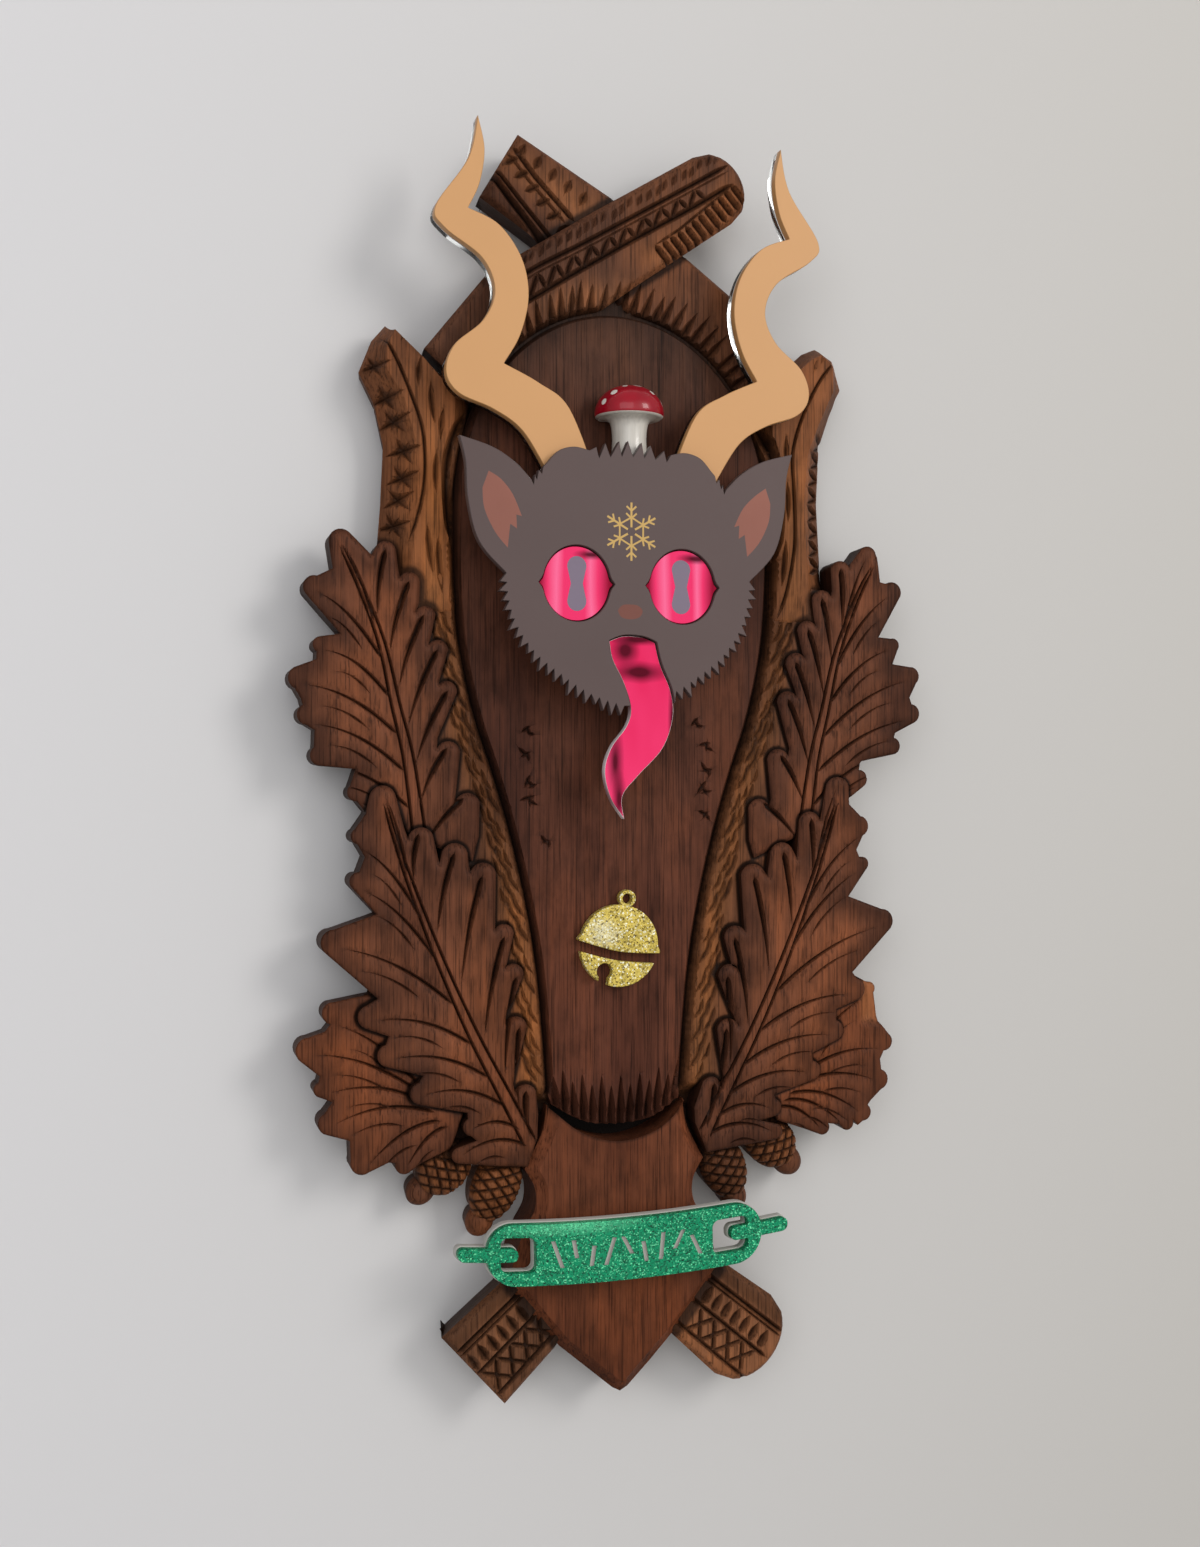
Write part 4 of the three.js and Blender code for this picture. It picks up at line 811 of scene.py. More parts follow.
def make_neck(board, side, opening, shapes, under_log, over_log):
    rows = SHOULDERS[side]
    low = ccw([(a, b) for a, b, _, _ in rows])
    high = ccw([(c, d) for _, _, c, d in rows])
    low_fine, high_fine = densify(low, 1.0), densify(high, 1.0)
    cuts = []
    if side < 0:
        stars = [(-80.2, -33.6), (-76.4, -43.5), (-73.8, -50.9), (-71, -60.3), (-71.2, -69), (-72.3, -76),
                 (-73.8, -84.4)]
        for i, (x, y) in enumerate(stars):
            cuts += star(x, y, lean=-12 + 7 * (i % 3), size=0.86 if i else 0.75)
        line = [(-78.6, -23.9), (-74.5, -31), (-70, -41), (-66, -52.3), (-64.8, -62.9), (-65.2, -72.3),
                (-67.2, -81.7), (-70, -90)]
        gouge = [(-49.5, -45.5), (-54.2, -53.5), (-56.8, -62), (-57.2, -71), (-56.6, -81), (-54.9, -92)]
        streaks = [((-62.9, -38), (-61.5, -52)), ((-58.5, -46), (-59.8, -57)), ((-61, -60), (-61, -74)),
                   ((-64, -84), (-62, -100)), ((-60.5, -88), (-59, -106)), ((-66, -30), (-67, -40))]
    else:
        for i in range(8):
            y = -47 - i * 6.1
            x = np.interp(-y, [40, 60, 95], [76, 72, 72.5])
            cuts.append(Cut([(x - 3.3, y), (x + 3.2, y - 2.6)], 2.9, 2.1, taper=2, dark=0.92))
            cuts.append(Cut([(x - 3.0, y - 5.4), (x + 3.2, y - 2.9)], 2.3, 1.7, taper=2, dark=0.92))
        line = [(78, -22), (72, -30), (66, -42), (62.6, -54), (62.9, -66), (63.4, -80), (62.7, -90),
                (60, -103), (57, -111)]
        gouge = [(50, -44), (54.5, -52), (57, -62), (57.6, -72), (57.2, -82), (55.8, -92)]
        streaks = [((60, -48), (60, -60)), ((60.5, -64), (60.8, -78)), ((60, -84), (58.5, -100)),
                   ((66, -30), (67, -40))]
    cuts.append(Cut(catmull(line, 6), 1.5, 1.2, taper=5, dark=1.0))
    cuts.append(Cut(catmull(gouge, 6), 4.6, 3.4, taper=8, dark=1.0, swell=0.4))
    for a, b in streaks:
        m = (np.array(a) + b) / 2 + [0.5 * side, 0]
        cuts.append(Cut(bezier(a, m, b), 2.3, 1.3, taper=5, dark=0.85, swell=0.3))
    rng = np.random.default_rng(20 + side)
    top_nicks = [Cut(cross_path((side * x, y), 60 * side + rng.uniform(-15, 15), 5), 2.4, 0.8, taper=2.4,
                     dark=0.25)
                 for x, y in ((71, -24), (74, -21), (78, -22), (81, -27), (83, -33))]
    # The loops in over cast a painted shadow on this piece.
    over = [(shapes[("upper", side)][0], 0.9, 2.2), (under_log, 0.8, 2.5), (over_log, 0.8, 2.5)]

    def top(co, rim):
        a = nearest(co, low_fine, True)[0]
        b = np.where(inside(co, high_fine), 0.0, nearest(co, high_fine, True)[0])
        h = 9.5 + 9.5 * a / np.maximum(a + b, 1e-6)
        end = smooth((-96 - co[:, 1]) / 15) * (side * co[:, 0] < 76)
        h = h * (1 - end) + (RAIL + 0.3) * end
        return np.minimum(h, groove_slope(co, opening))

    def stain(co, rim, colour, dark_stain_and_shade):
        x, y = side * co[:, 0], co[:, 1]
        a = nearest(co, low_fine, True)[0]
        outer = np.exp(-(a / 6.5) ** 2) * (x > 66)
        colour = colour * (1 - outer[:, None]) + tone(100, 64, 44) * outer[:, None]
        gold = np.exp(-((x - 61.5) / 4.0) ** 2)[:, None] * smooth((-y - 40) / 30)[:, None]
        colour = colour * (1 - 0.8 * gold) + tone(134, 88, 55) * 0.8 * gold
        # Black along the opening: dark stain and painted shade in the groove.
        d = nearest(co, opening, True)[0]
        return colour, np.maximum(dark_stain_and_shade, np.exp(-(d / 1.6) ** 2.4))

    board.piece(low, top, cuts=cuts + (top_nicks if side > 0 else top_nicks[:2]), step=1.3, edge=1.0,
                drop=0.5, tint=tone(116, 75, 50), over=over, stain=stain, undercut=1.5, extra=[high_fine],
                holes=[opening])


def vein_cuts(veins, side):
    """Gouges of the veins: bowed and fine in the outer lobes, broad in the inner ones."""
    cuts = []
    for root, tip, outer in veins:
        span = np.hypot(*(tip - root))
        if outer:
            a, b = root + (tip - root) * 0.06, root + (tip - root) * 0.86
            bow = min(6.5, span * 0.24)
            cuts.append(Cut(bezier(a, a + (b - a) * 0.5 + [0, bow], b), 1.45, 1.3, taper=2.5,
                            taper_end=span * 0.5, dark=0.92, swell=0.6))
            if span > 21:
                c, d = root + (tip - root) * 0.3 - [0, 3.4], root + (tip - root) * 0.74 - [0, 4.4]
                cuts.append(Cut(bezier(c, c + (d - c) * 0.5 + [0, bow * 0.6], d), 1.1, 0.8, taper=5,
                                taper_end=span * 0.3, dark=0.75, swell=0.2))
        else:
            a, b = root + (tip - root) * 0.12, root + (tip - root) * 0.9
            bend = (a + b) / 2 + [side * 1.6, 0.8]
            cuts.append(Cut(bezier(a, bend, b), 2.2, 1.9, taper=span * 0.5, taper_end=2.0, dark=1.0,
                            swell=0.7))
            c = a + (b - a) * 0.45 + [side * 2.6, -1.2]
            cuts.append(Cut([c, c + (b - a) * 0.34], 0.8, 0.45, taper=2.5, dark=0.45))
    return cuts


def rib_cuts(rib):
    """Two gouges along the midrib that part towards its foot."""
    line = spaced(rib, 0.7)
    left = across_path(line)
    grow = np.linspace(0.5, 2.1, len(line))[:, None]
    return [Cut(line + hand * left * grow, 1.25, 1.5, taper=7, taper_end=3, dark=0.95, swell=0.3)
            for hand in (-1, 1)]


def make_leaf(board, name, side, shapes):
    outline, rib, veins = shapes[(name, side)]
    leaf = LEAVES[name]
    crown = LEAF_CROWN + leaf["lift"]
    cuts = vein_cuts(veins, side)
    if name != "spread":
        cuts += rib_cuts(rib)
    over = []
    if name in ("spread", "upper"):
        # The lower leaf casts a painted shadow on this one.
        over = [(shapes[("lower", side)][0], 1.0, 1.2)]
    chipped = name == "spread" and side > 0
    edge_line = ccw(outline)

    def inner_flank(flank):
        return (flank * side < 0) & (name != "spread")

    edge_tone, heart = tone(66, 40, 30), tone(97, 60, 44)
    if name == "spread":
        edge_tone, heart = tone(70, 42, 31), tone(92, 55, 39)

    def top(co, rim):
        h = np.full(len(co), crown)
        d, _, flank = nearest(co, rib)
        if name != "spread":
            h = h - 0.45 * np.exp(-((d - 4.5) / 3) ** 2)
        rim = nearest(co, edge_line, True)[0]
        soft = np.where(inner_flank(flank), 1.9, 0.8)
        h = h - np.where(inner_flank(flank), 1.2, 0.6) * (1 - np.clip(rim / soft, 0, 1)) ** 1.3
        if chipped:
            h = h - 1.6 * smooth((co[:, 0] - 86) / 5) * smooth((co[:, 1] + 251) / 4)
        return h

    def stain(co, rim, colour, dark_stain_and_shade):
        t = smooth(rim / 11)[:, None]
        colour = edge_tone * (1 - t) + heart * t
        inner = side * co[:, 0]
        d = nearest(co, rib)[0]
        fade = np.exp(-(d / 2.2) ** 2)[:, None]
        colour = colour * (1 - 0.35 * fade) + tone(116, 70, 50) * 0.35 * fade
        if name == "lower":
            deep = smooth((62 - inner) / 25)[:, None] * smooth((-co[:, 1] - 170) / 20)[:, None]
            colour = colour * (1 - 0.12 * deep)
        if chipped:
            raw = (smooth((co[:, 0] - 86.5) / 4) * smooth((co[:, 1] + 250) / 3))[:, None]
            colour = colour * (1 - raw) + tone(112, 73, 51) * raw
        flank = nearest(co, rib)[2]
        inside_flank = inner_flank(flank)
        # A painted highlight along the rolled crest of the inner lobes.
        crest = np.where(inside_flank, np.exp(-((rim - 1.6) / 1.3) ** 2), 0)[:, None]
        colour = colour * (1 + 0.4 * crest)
        # A dark line along the rim: grime and painted shade of the undercut.
        rim_grime_and_shade = 0.35 * np.exp(-(rim / 0.35) ** 2)
        return colour, np.maximum(dark_stain_and_shade, rim_grime_and_shade)

    board.piece(outline, top, cuts=cuts, floor=LEAF_FLOOR - 0.4, undercut=0.4, step=1.15, edge=0.9, drop=0,
                over=over, stain=stain)


def on_bar(axis, u, v):
    """Places u mm along the axis from its first point and v mm to its left."""
    axis = arr(axis)
    d = axis[1] - axis[0]
    d /= np.hypot(*d)
    return axis[0] + np.outer(np.atleast_1d(u), d) + np.outer(np.atleast_1d(v), [-d[1], d[0]])


LOG_LIGHT = tone(124, 82, 56)


def log_top(full, opening):
    """The heights of a log that slopes down to the groove round the panel."""
    def top(co, rim):
        return np.minimum(full, PANEL - GROOVE_DEPTH + nearest(co, opening, True)[0] * 4)
    return top


def make_lower_log(board, under_log, over_log, opening):
    """The left one of the crossed logs, which lies under the other."""
    cuts = [Cut([(-35.6, 40.2), (-28.1, 31.1), (-15, 18)], 2.2, 1.7, taper=2, dark=0.9),
            Cut([(-37.6, 38.4), (-30.6, 30.0), (-18, 17)], 1.4, 1.0, taper=2, dark=0.6),
            Cut([(-43, 31), (-35.9, 22.2), (-24, 8.5)], 2.8, 2.2, taper=1.5, dark=1.0),
            Cut([(-41.2, 32.3), (-33.4, 23.3), (-21.5, 10)], 1.8, 1.5, taper=1.5, dark=0.9)]
    for k in range(6):
        a = np.array([-38.8, 34.4]) + np.array([3.6, -4.15]) * k
        cuts.append(Cut([a, a + [4.8, 2.4]], 2.7, 1.8, taper=1.6, dark=0.85))
    for k in range(5):
        a = np.array([-31.5, 41.5]) + np.array([5.2, -3.4]) * k
        cuts.append(Cut([a, a + [-2.3, -4.6]], 3.0, 1.6, taper=2, dark=0.6))
    cuts += arch_ticks()

    def stain_low(co, rim, colour, dark_stain_and_shade):
        p = co - np.array([-40, 34.2])
        v = p @ np.array([0.51, 0.86])
        lift = np.exp(-((v - 3) / 6) ** 2)[:, None] * (co[:, 0] < 0)[:, None]
        colour = colour * (1 - 0.9 * lift) + LOG_LIGHT * 0.9 * lift
        low = smooth((-v - 5) / 4)[:, None] * (co[:, 0] < -18)[:, None]
        return colour * (1 - 0.3 * low), panel_black(co, dark_stain_and_shade, opening)

    # The upper log casts a painted shadow on this one.
    board.piece(under_log, log_top(LOWER_LOG, opening), cuts=cuts, step=1.25, edge=2.0, drop=2.0, undercut=3,
                tint=tone(88, 57, 42), stain=stain_low, over=[(over_log, 0.95, 2.2)], holes=[opening])


def make_upper_log(board, over_log, opening):
    """The right one of the crossed logs."""
    rng = np.random.default_rng(11)
    upper = catmull([(-44, -9.5), (-28.6, 0.9), (-13, 9.9), (5.6, 21.1), (23.2, 31.8), (38.5, 41.2)], 6)
    second = upper + [0.6, -1.7]
    long = catmull([(-40, -15.5), (-28.6, -8.5), (-13, 1.7), (5.7, 13.5), (24.6, 24.9), (40.5, 35.2)], 6)
    cuts = [Cut(upper, 2.0, 1.6, taper=4, dark=1.0), Cut(second, 0.9, 0.5, taper=4, dark=0.5),
            Cut(long, 2.4, 2.0, taper=4, dark=1.0)]
    tops, bottoms = spaced(second[5:-4], 3.7), spaced(long[5:-4], 3.7)
    for k in range(min(len(tops), len(bottoms)) - 1):
        a, b = (tops[k], bottoms[k + 1]) if k % 2 else (bottoms[k], tops[k + 1])
        gap = b - a
        cuts.append(Cut([a + gap * 0.06, a + gap * 0.94], 2.1, 1.5, taper=1.6, dark=0.9))
    rungs = spaced(arr([(15.5, 8.6), (26.5, 16), (34.5, 24), (42.5, 31.5)]), 3.55)
    for p in rungs:
        cuts.append(Cut([p + [-2.9, 3.2], p + [2.6, -2.9]], 2.7, 2.0, taper=1.4, dark=0.88))
    cuts.append(Cut([(12, 11.5), (21, 17.8), (31, 26.5), (39.5, 34)], 1.2, 0.9, taper=5, dark=0.8))
    for p in spaced(upper + [-1.6, 2.2], 3.6):
        jitter = rng.uniform(-0.6, 0.6, 2)
        cuts.append(Cut([p + jitter, p + jitter + [1.6, 4.2]], 2.3, 1.1, taper=2.0, dark=0.5))
    cuts += arch_ticks()

    def stain_high(co, rim, colour, dark_stain_and_shade):
        d = nearest(co, np.array([[40.0, 31.0], [26.0, 17.0], [13.0, 8.0]]))[0]
        lift = np.exp(-(d / 5) ** 2)[:, None]
        colour = colour * (1 - 0.7 * lift) + LOG_LIGHT * 0.7 * lift
        band = np.exp(-((nearest(co, opening, True)[0] - 5) / 5) ** 2)[:, None]
        colour = colour * (1 - 0.6 * band) + tone(122, 82, 58) * 0.6 * band
        return colour, panel_black(co, dark_stain_and_shade, opening)

    board.piece(over_log, log_top(LOG, opening), cuts=cuts, step=1.25, edge=2.0, drop=2.0, undercut=3,
                tint=tone(80, 53, 41), stain=stain_high, holes=[opening])


# Black along the groove round the panel: dark stain and painted shade in the groove.
def panel_black(co, dark_stain_and_shade, opening):
    d = nearest(co, opening, True)[0]
    return np.maximum(dark_stain_and_shade, np.exp(-(d / 1.5) ** 2))


def arch_ticks():
    """Gouged strokes that stand on the arch round the panel."""
    rng = np.random.default_rng(31)
    cuts = []
    for a in np.arange(14, 166, 3.9):
        t = math.radians(a + rng.uniform(-0.8, 0.8))
        foot = np.array([(PANEL_HALF + 0.6) * math.cos(t),
                         PANEL_SPRING + (PANEL_TOP + 0.6 - PANEL_SPRING) * math.sin(t)])
        out = np.array([math.cos(t) * 0.75 + 0.25, math.sin(t)])
        out /= np.hypot(*out)
        tall = (10.0 if a < 125 else 7.0) + rng.uniform(-1.3, 1.3)
        cuts.append(Cut([foot, foot + out * tall], 3.1, 2.1, taper=0.6, taper_end=tall * 0.75, dark=0.8,
                        swell=0.3))
    return cuts


def shield_outline():
    side = arr([(23.5, -272), (24.8, -280), (28, -287), (31, -292.5), (27.5, -299), (27.5, -306),
                (31.2, -313), (34.6, -322), (36.3, -330)])
    curve = np.vstack([catmull(side[:4], 6), catmull(side[3:], 6)[1:], [(19.3, -351)]])
    bowl = catmull(CRESCENT_LOWER, 10)
    return np.vstack([curve * [-1, 1], [(-1, -366.4), (1.7, -367.8), (4.2, -366.4)], curve[::-1], bowl[::-1]])


def make_acorns(board, shapes, shield):
    for cup, nut, long, wide, radius in ACORNS:
        cup, nut = np.array(cup, float), np.array(nut, float)
        side = math.copysign(1, cup[0])
        d = (nut - cup) / np.hypot(*(nut - cup))
        n = np.array([-d[1], d[0]])
        ring = arc(0, 0, 1, 0, 360, 48)[:-1]
        middle = nut + d * 0.2
        nut_loop = middle + ring[:, :1] * radius * 1.15 * d + ring[:, 1:] * radius * n

        def nut_top(co, rim, c=middle, d=d, n=n, r=radius):
            q = co - c
            rr = np.clip(1 - (q @ d / (r * 1.15)) ** 2 - (q @ n / r) ** 2, 0, 1)
            return 9.5 + (r * 0.95) * np.sqrt(rr)

        board.piece(nut_loop, nut_top, step=0.9, edge=0.6, drop=0, tint=tone(88, 56, 42), undercut=1.2)
        cup_loop = cup + ring[:, :1] * long * d + ring[:, 1:] * wide * n

        def cup_top(co, rim, c=cup, d=d, n=n, a=long, b=wide):
            q = co - c
            rr = np.clip(1 - (q @ d / a) ** 2 - (q @ n / b) ** 2, 0, 1)
            return 11.5 + 6.6 * rr ** 0.42

        cuts = []
        for lean in (-1, 1):
            for k in np.arange(-3, 3.1, 1.0):
                mid = cup + d * k * 3.7
                slope = n + lean * 0.62 * d
                slope /= np.hypot(*slope)
                cuts.append(Cut([mid - slope * wide * 1.25, mid + slope * wide * 1.25], 1.5, 1.15, taper=0.5,
                                dark=0.95))
        # The leaves and the shield cast a painted shadow on the cup.
        over = [(shapes[(k, side)][0], 0.9, 1.6) for k in ("lower", "spread")] + [(shield, 0.9, 2)]
        board.piece(cup_loop, cup_top, cuts=cuts, step=0.9, edge=0.6, drop=0, tint=tone(106, 68, 46),
                    undercut=1.2, over=over)


def make_foot_log(board, side, shield):
    outline = bar_outline(FOOT_LOGS[side], FOOT_HALVES[side], FOOT_BULGE[side])
    axis = arr(FOOT_LOGS[side])
    cuts = []
    bulge = FOOT_BULGE[side]
    out = -side
    for v, w, dark in ((8.6, 2.0, 1.0), (7.0, 1.2, 0.8), (-1.4, 1.9, 0.95), (-11.2, 1.8, 0.9)):
        line = on_bar(axis, [-bulge * 0.8, 30], [v * out, v * out * 0.92])
        cuts.append(Cut(line, w, w * 0.9, taper=2, dark=dark))
    for k in range(7 if side > 0 else 6):
        u = -bulge * 0.6 + 1.5 + 4.3 * k
        cuts.append(Cut(on_bar(axis, [u + 0.8, u], [6.2 * out, -0.6 * out]), 3.4, 2.3, taper=3.0,
                        taper_end=1.5, dark=0.85))
    for k in range(4):
        u = -bulge * 0.6 + 1.5 + 6.4 * k
        b = on_bar(axis, [u, u + 6.2], [-2.0 * out, -10.6 * out])
        c = on_bar(axis, [u + 6.2, u], [-2.0 * out, -10.6 * out])
        cuts += [Cut(b, 1.9, 1.5, taper=1, dark=0.88), Cut(c, 1.9, 1.5, taper=1, dark=0.88)]

    def stain(co, rim, colour, dark_stain_and_shade):
        d = axis[1] - axis[0]
        d = d / np.hypot(*d)
        v = -(co - axis[0]) @ np.array([-d[1], d[0]]) * side
        # The outer band is painted darker: painted shade of its rounded bevel.
        dark = smooth((v - 8.5) / 2)[:, None]
        return colour * (1 - 0.45 * dark), dark_stain_and_shade

    # The shield casts a painted shadow on this log.
    board.piece(outline, LOWER_LOG, cuts=cuts, step=1.25, edge=2.0, drop=2.0, undercut=3,
                tint=tone(116, 78, 56) if side > 0 else tone(100, 68, 50),
                stain=stain, over=[(shield, 0.9, 2.5)])


def make_shield(board, shield):
    bowl = densify(catmull(CRESCENT_LOWER, 10), 0.8, closed=False)
    fine = densify(ccw(shield), 0.8)
    flank = fine[nearest(fine, bowl)[0] > 0.6]

    def slope_share(co):
        """0 on the outer edge of the bevel, 1 on the flat."""
        gap = np.array([np.hypot(*(flank - p).T).min() for p in co])
        return np.clip(gap / BEVEL, 0, 1)

    def stain(co, rim, colour, dark_stain_and_shade):
        share = slope_share(co)
        slope = (share < 0.97)[:, None]
        low = smooth((-co[:, 1] - 300) / 60)[:, None]
        colour = colour * (1 - low) + tone(98, 55, 36) * low
        # The bevels are painted darker, with a dark line where they meet the flat: painted shade on the
        # bevels.
        colour = np.where(slope, colour * (0.86 - 0.2 * low), colour)
        # A dark line along the bowl's lip: painted shade over the deep groove.
        lip = 0.7 * np.exp(-(nearest(co, bowl)[0] / 0.9) ** 2)
        return colour, np.maximum(np.maximum(dark_stain_and_shade, 0.3 * np.exp(-((share - 1) * BEVEL / 0.7) ** 2)), lip)

    def top(co, rim):
        return SHIELD - 3.2 * (1 - slope_share(co))

    ring = fine + normals(fine) * BEVEL
    gap = nearest(ring, fine, True)[0]
    board.piece(shield, top, step=2.0, edge=0.9, drop=0, tint=tone(114, 67, 47), stain=stain,
                extra=[ring[gap > BEVEL * 0.97]])


# Sheet pieces: flat fronts with inlaid colours, rounded cut edges

def trace(loops, keep):
    """Boundary of a region drawn by overlapping loops; the region lies to the left of each loop returned."""
    co, tris = triangles(np.vstack(loops), closing_edges(loops), 1e-4)
    tris = facing(co, tris[keep(co[tris].mean(1))])
    sides = {(a, b) for t in tris.tolist() for a, b in zip(t, t[1:] + t[:1])}
    ahead = {a: b for a, b in sides if (b, a) not in sides}
    found = []
    while ahead:
        start = next(iter(ahead))
        path, at = [], start
        while at in ahead:
            path.append(at)
            at = ahead.pop(at)
        if len(path) > 2:
            found.append(co[path])
    return found


def flat_face(loops, marks=()):
    """Triangles between loops, with extra loops as edges in them; counterclockwise."""
    every = list(loops) + list(marks)
    co, tris = triangles(np.vstack(every), closing_edges(every))
    mid = co[tris].mean(1)
    odd = np.zeros(len(mid), bool)
    for loop in loops:
        odd ^= inside(mid, loop)
    return co, facing(co, tris[odd])


def any_inside(points, loops):
    hit = np.zeros(len(points), bool)
    for loop in loops:
        hit |= inside(points, loop)
    return hit


def at_height(points, z):
    return np.column_stack([points, np.full(len(points), z)])


def wall_between(rings, flip):
    """Points and triangles between rings of (loop, height); flip -1 turns them inwards."""
    n = len(rings[0][0])
    i, j = np.arange(n), (np.arange(n) + 1) % n
    quads = []
    for k in range(len(rings) - 1):
        a, b = k * n, (k + 1) * n
        quads += [np.column_stack([a + i, a + j, b + j]), np.column_stack([a + i, b + j, b + i])]
    return np.vstack([at_height(loop, z) for loop, z in rings]), np.vstack(quads)[:, ::flip]


class Sheet:
    """Collects the faces of one cut sheet and which material each has."""

    def __init__(self):
        self.parts, self.faces, self.index, self.count = [], [], [], 0

    def add(self, co, tris, kind):
        self.parts.append(co)
        self.faces.append(tris + self.count)
        self.index.append(np.broadcast_to(kind, len(tris)))
        self.count += len(co)

    def build(self, name):
        faces, index = np.vstack(self.faces), np.concatenate(self.index)
        return finish_mesh(name, to_mesh(name, np.vstack(self.parts), faces, index), 50)


def sheet_piece(name, loops, keep, back, front, inlays=(), pockets=(), soften=0.22, step=1.6):
    """A cut sheet. Material 0 is its face, 1 its edges and back, 2 its pockets' floors, from 3 its inlays."""
    rims = trace([densify(ccw(loop), step) for loop in loops], keep)
    wells = [densify(ccw(loop), step) for loop in pockets]
    marks = [densify(ccw(loop), step) for group in inlays for loop in group] + wells
    sheet = Sheet()
    co, tris = flat_face([rim + normals(rim) * soften for rim in rims], marks)
    mid = co[tris].mean(1)
    kind = np.zeros(len(tris), int)
    for k, group in enumerate(inlays):
        kind[any_inside(mid, group)] = 3 + k
    sunk = any_inside(mid, pockets)
    sheet.add(at_height(co, front), tris[~sunk], kind[~sunk])
    if sunk.any():
        sheet.add(at_height(co, front - STROKE_DEPTH), tris[sunk], 2)
    co, tris = flat_face(rims)
    sheet.add(at_height(co, back), tris[:, ::-1], 1)
    for rim in rims:
        inner = normals(rim) * soften
        rings = [(rim, back), (rim, front - soften), (rim + inner * 0.3, front - soften * 0.3),
                 (rim + inner, front)]
        sheet.add(*wall_between(rings, 1), 1)
    for well in wells:
        sheet.add(*wall_between([(well, front), (well, front - STROKE_DEPTH)], -1), 2)
    return sheet.build(name)


HORN_MIDDLE = 1.4
HORN_OUTER = [(51.8, 44.4), (54.9, 30.5), (65.4, 14.5), (62.5, 7.8), (50.4, -0.6), (46.2, -10.6),
              (50, -20.3), (59.3, -28.8), (62, -37.5), (57.8, -44), (46.5, -48.4), (37, -54.8), (28.5, -68)]
HORN_INNER = [
    [(51.8, 44.4), (49.6, 34), (51.2, 23), (54.9, 14.8)],
    [(54.9, 14.8), (44.8, 10.4), (37.4, 0.4), (35.1, -11.5), (37.8, -24), (43.2, -33.6)],
    [(43.2, -33.6), (31.5, -39.1), (21.6, -46.5), (12.5, -68)]]


def horn_outline(side):
    place = lambda p: arr(p) * [side, 1] + [HORN_MIDDLE, 0]
    outer = catmull(place(HORN_OUTER), 8)
    inner = np.vstack([catmull(place(s), 8)[1:] for s in HORN_INNER])
    return np.vstack([outer, inner[::-1]])[:-1]


HEAD_MIDDLE, EYE_APART, EYE_HEIGHT, EYE_RADIUS, EYE_REACH = -0.6, 17.9, -103, 11.9, 12.3


def head_side(side):
    place = lambda p: arr(p) * [side, 1] + [HEAD_MIDDLE, 0]
    dome = catmull(place([(13.8, -60.3), (18.8, -59.4), (24, -60.9), (27.9, -65)]), 6)
    tuft = place([(29.2, -66.4), (29.6, -68.6), (30.6, -67.4), (31.3, -70.6), (31.9, -69), (32.3, -72.2)])
    ear = catmull(place([(33, -70.6), (38.5, -65.2), (46, -60.8), (56.4, -57.8)]), 7)
    cheek_top = catmull(place([(56.4, -57.8), (54.4, -66), (53.6, -78), (50, -91), (41.2, -100.6)]), 7)[1:]
    path = catmull(place([(41.2, -100.6), (40.4, -108.5), (37.6, -117), (31.5, -125.5), (22.5, -132.6),
                          (13, -138.4), (2, -142)]), 10)
    count = int(round(length_of(path) / 3.0))
    pts = along(path, np.linspace(0, 1, count + 1))
    fur = []
    for i, p in enumerate(pts):
        fur.append(p)
        if i < count:
            q = pts[i + 1]
            d = (q - p) / np.hypot(*(q - p))
            out = np.array([d[1], -d[0]]) * -side
            longer = min(1.0, max(0.0, (-112 - p[1]) / 20))
            deep = (2.7 + 1.3 * longer) * (0.85 + 0.3 * math.sin(2.1 * i) * math.cos(0.7 * i))
            fur.append(p + (q - p) * 0.85 + out * deep)
    return np.vstack([dome, tuft, ear, cheek_top, np.array(fur)[1:]])


def head_outline():
    right, left = head_side(1), head_side(-1)
    tips = []
    count = 7
    for i in range(count):
        share = ((i + 0.5) / count) * 2 - 1
        x = HEAD_MIDDLE - share * 13.4
        rise = 3.4 * (1 - share * share)
        tips += [(x + 0.9, -63 + rise * 0.4), (x - (i % 2) * 0.8, -60 + rise)]
    return np.vstack([right, left[::-1], np.array(tips)[::-1]])


def eye_outline(side, grow=0.0):
    cx = HEAD_MIDDLE + side * EYE_APART
    reach = EYE_REACH + grow * 1.41
    ring = arc(0, 0, 1, 13, 167, 28) * [EYE_RADIUS - 0.9 + grow, EYE_RADIUS + grow]
    near_tip = arr([(reach - 1.1, 1.2 + grow * 0.5)])
    upper = np.vstack([[(reach, 0)], near_tip, ring, near_tip * [-1, 1]])
    return np.vstack([upper, -upper]) + [cx, EYE_HEIGHT]


def pupil_outline(side):
    cx = HEAD_MIDDLE + side * EYE_APART - 0.2 * side
    top, low = arc(cx, EYE_HEIGHT + 5.6, 3.2, -20, 200, 16), arc(cx, EYE_HEIGHT - 5.6, 3.2, 160, 380, 16)
    right = arr([(cx + 2.0, EYE_HEIGHT)])
    return np.vstack([top, [(cx - 2.0, EYE_HEIGHT)], low, right])


